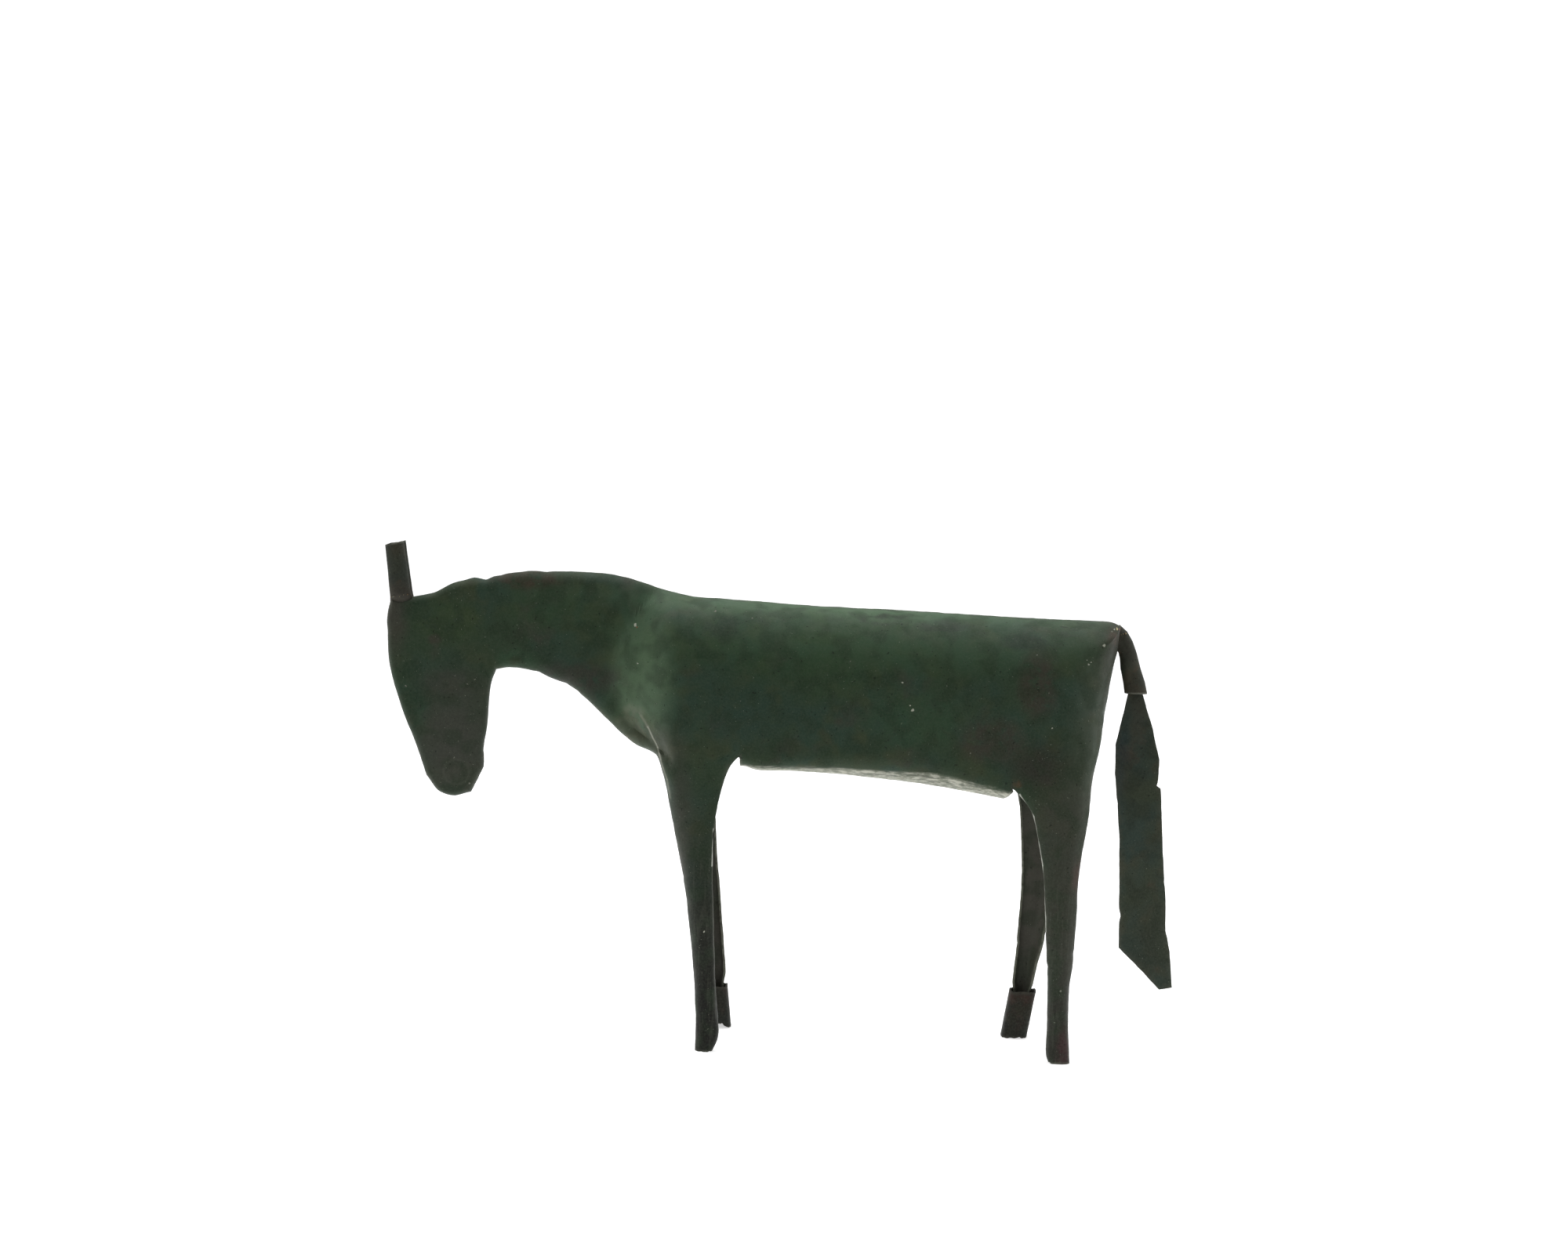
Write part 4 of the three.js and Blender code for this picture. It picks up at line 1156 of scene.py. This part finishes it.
HOOF_LOOKS = {
    "base": "21211b", "teal": "1e211d", "olive": "28261d", "brown": "2f2420", "dim": "191914",
    "edge": "37362e", "rim": "3e3d36", "stain": (7, 0.52, 0.7), "rough": (0.54, 0.7),
    "patches": [(108.5, 17.5, 9, 3, "362620", 0.7)],
    "washes": [(101.6, 5.2, 1.3, 2.4, "0b0b09", 0.9)],
}

# Brazing beads along a seam

BEAD_SEED = 7
BEAD_WANDER = 0.25
BEAD_SIZES = (0.45, 1.25)
BEAD_INPUTS = {
    "Seam": "Geometry", "Spacing": "Float", "Bead radius": "Float", "Wander": "Float", "Seed": "Int",
}
BEAD_SEAMS = [
    {
        "name": "tail_root_beads", "slot": "stem_patina", "spacing": 0.9, "radius": 0.34,
        "line": [(140.4, -3.4, 181.8), (141.2, -3.6, 180.5), (142.4, -3.5, 180.2), (143.6, -3.1, 180.6)],
    },
    {
        "name": "ear_root_beads", "slot": "ear_patina", "spacing": 1.5, "radius": 0.22,
        "line": [(-167.6, -4.6, 185.6), (-165.0, -5.6, 186.0), (-161.6, -5.4, 186.6), (-159.6, -3.6, 186.6)],
    },
]


def bead_tree(material):
    """Geometry Nodes: beads of uneven size and spacing along a seam's line."""
    tree = bpy.data.node_groups.new("beads_along_seam", "GeometryNodeTree")
    for name, kind in BEAD_INPUTS.items():
        tree.interface.new_socket(name, in_out="INPUT", socket_type="NodeSocket" + kind)
    tree.interface.new_socket("Beads", in_out="OUTPUT", socket_type="NodeSocketGeometry")
    given = add_node(tree, "NodeGroupInput").outputs

    def step(kind, inputs, output=0, **settings):
        return add_node(tree, kind, inputs, **settings).outputs[output]

    line = step("GeometryNodeMeshToCurve", {"Mesh": given["Seam"]})
    dots = step("GeometryNodeCurveToPoints", {"Curve": line, "Length": given["Spacing"]}, mode="LENGTH")
    either_way = {"Seed": given["Seed"], 0: (-1, -1, -1), 1: (1, 1, 1)}
    drift = step("FunctionNodeRandomValue", either_way, data_type="FLOAT_VECTOR")
    shift = vector_node(tree, "SCALE", {0: drift, "Scale": given["Wander"]})
    moved = step("GeometryNodeSetPosition", {"Geometry": dots, "Offset": shift})
    bead = step("GeometryNodeMeshIcoSphere", {"Radius": given["Bead radius"], "Subdivisions": 3})
    small_to_large = {"Seed": given["Seed"], 2: BEAD_SIZES[0], 3: BEAD_SIZES[1]}
    size = step("FunctionNodeRandomValue", small_to_large, 1, data_type="FLOAT")
    placed = step("GeometryNodeInstanceOnPoints", {"Points": moved, "Instance": bead, "Scale": size})
    solid = step("GeometryNodeRealizeInstances", {"Geometry": placed})
    smooth = step("GeometryNodeSetShadeSmooth", {0: solid})
    final = step("GeometryNodeSetMaterial", {"Geometry": smooth, "Material": material})
    add_node(tree, "NodeGroupOutput", {"Beads": final})
    return tree


def make_beads(seam, tree, material):
    """Runs the bead tree along a seam's line and keeps the result as a plain mesh."""
    name, line = seam["name"], seam["line"]
    mesh = bpy.data.meshes.new(name)
    mesh.from_pydata([Vector(p) * MM for p in line], [(i, i + 1) for i in range(len(line) - 1)], [])
    piece = add_object(name, mesh)
    modifier = piece.modifiers.new("beads", "NODES")
    modifier.node_group = tree
    sizes = {
        "Spacing": seam["spacing"] * MM, "Bead radius": seam["radius"] * MM, "Wander": BEAD_WANDER * MM,
        "Seed": BEAD_SEED,
    }
    for item in tree.interface.items_tree:
        if item.in_out == "INPUT" and item.name in sizes:
            modifier[item.identifier] = sizes[item.name]
    bpy.context.view_layer.update()
    shaped = piece.evaluated_get(bpy.context.evaluated_depsgraph_get())
    finished = bpy.data.meshes.new_from_object(shaped)
    piece.modifiers.remove(modifier)
    piece.data = finished
    bpy.data.meshes.remove(mesh)
    finished.name = name
    if not finished.materials:
        finished.materials.append(material)
    return piece


# The horse

ear_finish = patinated_sheet("grey_brown_patinated_rolled_ear", EAR_LOOKS)
hoof_finish = patinated_sheet("dull_brown_patinated_hoof_sleeve", HOOF_LOOKS)
brass = brazing_brass()

body_finish = patinated_sheet("dark_green_patinated_steel_sheet", BODY_LOOKS)
stem_finish = patinated_sheet("grey_brown_patinated_tail_tube", STEM_LOOKS)
strip_finish = patinated_sheet("dark_green_patinated_tail_sheet", STRIP_LOOKS)

pieces = [
    (make_body(body_finish), "horse_body", "body_patina"),
    (make_ear("near_ear_roll", -1, ear_finish), "near_ear", "ear_patina"),
    (make_ear("far_ear_roll", 1, ear_finish), "far_ear", "ear_patina"),
    (make_stem(stem_finish), "tail_stem", "stem_patina"),
    (make_strip(strip_finish), "tail_strip", "strip_patina"),
    (make_hoof("far_front_sleeve", FRONT_HOOF, hoof_finish), "far_front_hoof", "hoof_patina"),
    (make_hoof("far_rear_sleeve", REAR_HOOF, hoof_finish), "far_rear_hoof", "hoof_patina"),
]
for piece, node, slot in pieces:
    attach(piece, "root")
    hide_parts(node)

beads = bead_tree(brass)
for seam in BEAD_SEAMS:
    joint = make_beads(seam, beads, brass)
    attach(joint, "root")

# Floor, light and camera

# Where along one axis of the direction a part of the surround begins and is full, and how bright it is
LEFT_WALL = (-0.35, -0.9, 1.15)
RIGHT_WALL = (0.35, 0.9, 0.85)
BACK_WALL = (0, 0.8, 0.4)
CEILING = (0.3, 0.9, 0.45)
ABOVE_FLOOR = (-0.15, 0.05)
CAMERA_SIDE = 0.03
SEEN_WHITE = 1.2
FLOOR_GLOW = 0.55
FLOOR_SHADE = 0.86
FLOOR_REACH = 3.0
FLOOR_FRONT = -0.32
SOFTBOX = {"place": (0.0, 0.15, 1.3), "target": (0, 0, 0.05), "size": (1.6, 1.2), "power": 12}

CAMERA_PLACE = (-0.001, -1.2, 0.279)
CAMERA_TARGET = (-0.001, 0.0, 0.1782)
CAMERA_ROLL = math.radians(2)
CLIP_START = 0.05
SENSOR = 36.0
PHOTO_WIDTH = 2000
PIXELS_PER_METRE = 3000


def matt_white():
    """White studio paper: matt, and lit a little from within so that it stays as pale as in the photo."""
    material, tree = new_material("matt_white_floor")
    finish(tree, {
        "Base Color": (FLOOR_SHADE, FLOOR_SHADE, FLOOR_SHADE, 1), "Roughness": 0.8,
        "Emission Color": (1, 1, 1, 1), "Emission Strength": FLOOR_GLOW,
    })
    return material


def make_floor():
    mesh = bpy.data.meshes.new("studio_floor")
    front = [(-FLOOR_REACH, FLOOR_FRONT, 0), (FLOOR_REACH, FLOOR_FRONT, 0)]
    back = [(FLOOR_REACH, FLOOR_REACH, 0), (-FLOOR_REACH, FLOOR_REACH, 0)]
    mesh.from_pydata(front + back, [], [(0, 1, 2, 3)])
    mesh.materials.append(matt_white())
    floor = add_object("studio_floor", mesh)


def make_softbox():
    light = bpy.data.lights.new("overhead_softbox", "AREA")
    light.shape = "RECTANGLE"
    light.size, light.size_y = SOFTBOX["size"]
    light.energy = SOFTBOX["power"]
    aimed("overhead_softbox", light, SOFTBOX["place"], SOFTBOX["target"])


def make_surround():
    """White walls left and right, dimmer ones behind and above, dark on the camera's side, and pure white
    where the camera looks past the horse."""
    world = bpy.data.worlds.new("studio_surround")
    bpy.context.scene.world = world
    world.use_nodes = True
    tree = world.node_tree
    tree.nodes.clear()
    way = add_node(tree, "ShaderNodeTexCoord").outputs["Generated"]
    x, y, z = add_node(tree, "ShaderNodeSeparateXYZ", {0: way}).outputs
    left = soft_step(tree, x, *LEFT_WALL)
    right = soft_step(tree, x, *RIGHT_WALL)
    above_floor = soft_step(tree, z, *ABOVE_FLOOR)
    sides = calculated(tree, "MULTIPLY", calculated(tree, "ADD", left, right), above_floor)
    behind = soft_step(tree, y, *BACK_WALL)
    rest = calculated(tree, "ADD", behind, soft_step(tree, z, *CEILING))
    strength = calculated(tree, "ADD", calculated(tree, "ADD", sides, rest), CAMERA_SIDE)
    seen = add_node(tree, "ShaderNodeLightPath").outputs["Is Camera Ray"]
    strength = calculated(tree, "MAXIMUM", strength, calculated(tree, "MULTIPLY", seen, SEEN_WHITE))
    background = add_node(tree, "ShaderNodeBackground", {"Strength": strength, "Color": (1, 1, 1, 1)})
    add_node(tree, "ShaderNodeOutputWorld", {"Surface": background.outputs[0]})


def make_camera():
    data = bpy.data.cameras.new("photo_camera")
    distance = (Vector(CAMERA_TARGET) - Vector(CAMERA_PLACE)).length
    data.sensor_width = SENSOR
    data.lens = distance * PIXELS_PER_METRE / PHOTO_WIDTH * SENSOR
    data.clip_start = CLIP_START
    camera = aimed("photo_camera", data, CAMERA_PLACE, CAMERA_TARGET)
    camera.rotation_euler.rotate_axis("Z", CAMERA_ROLL)
    bpy.context.scene.camera = camera


make_floor()
make_surround()
make_softbox()
make_camera()
bpy.context.scene.view_settings.view_transform = "Standard"
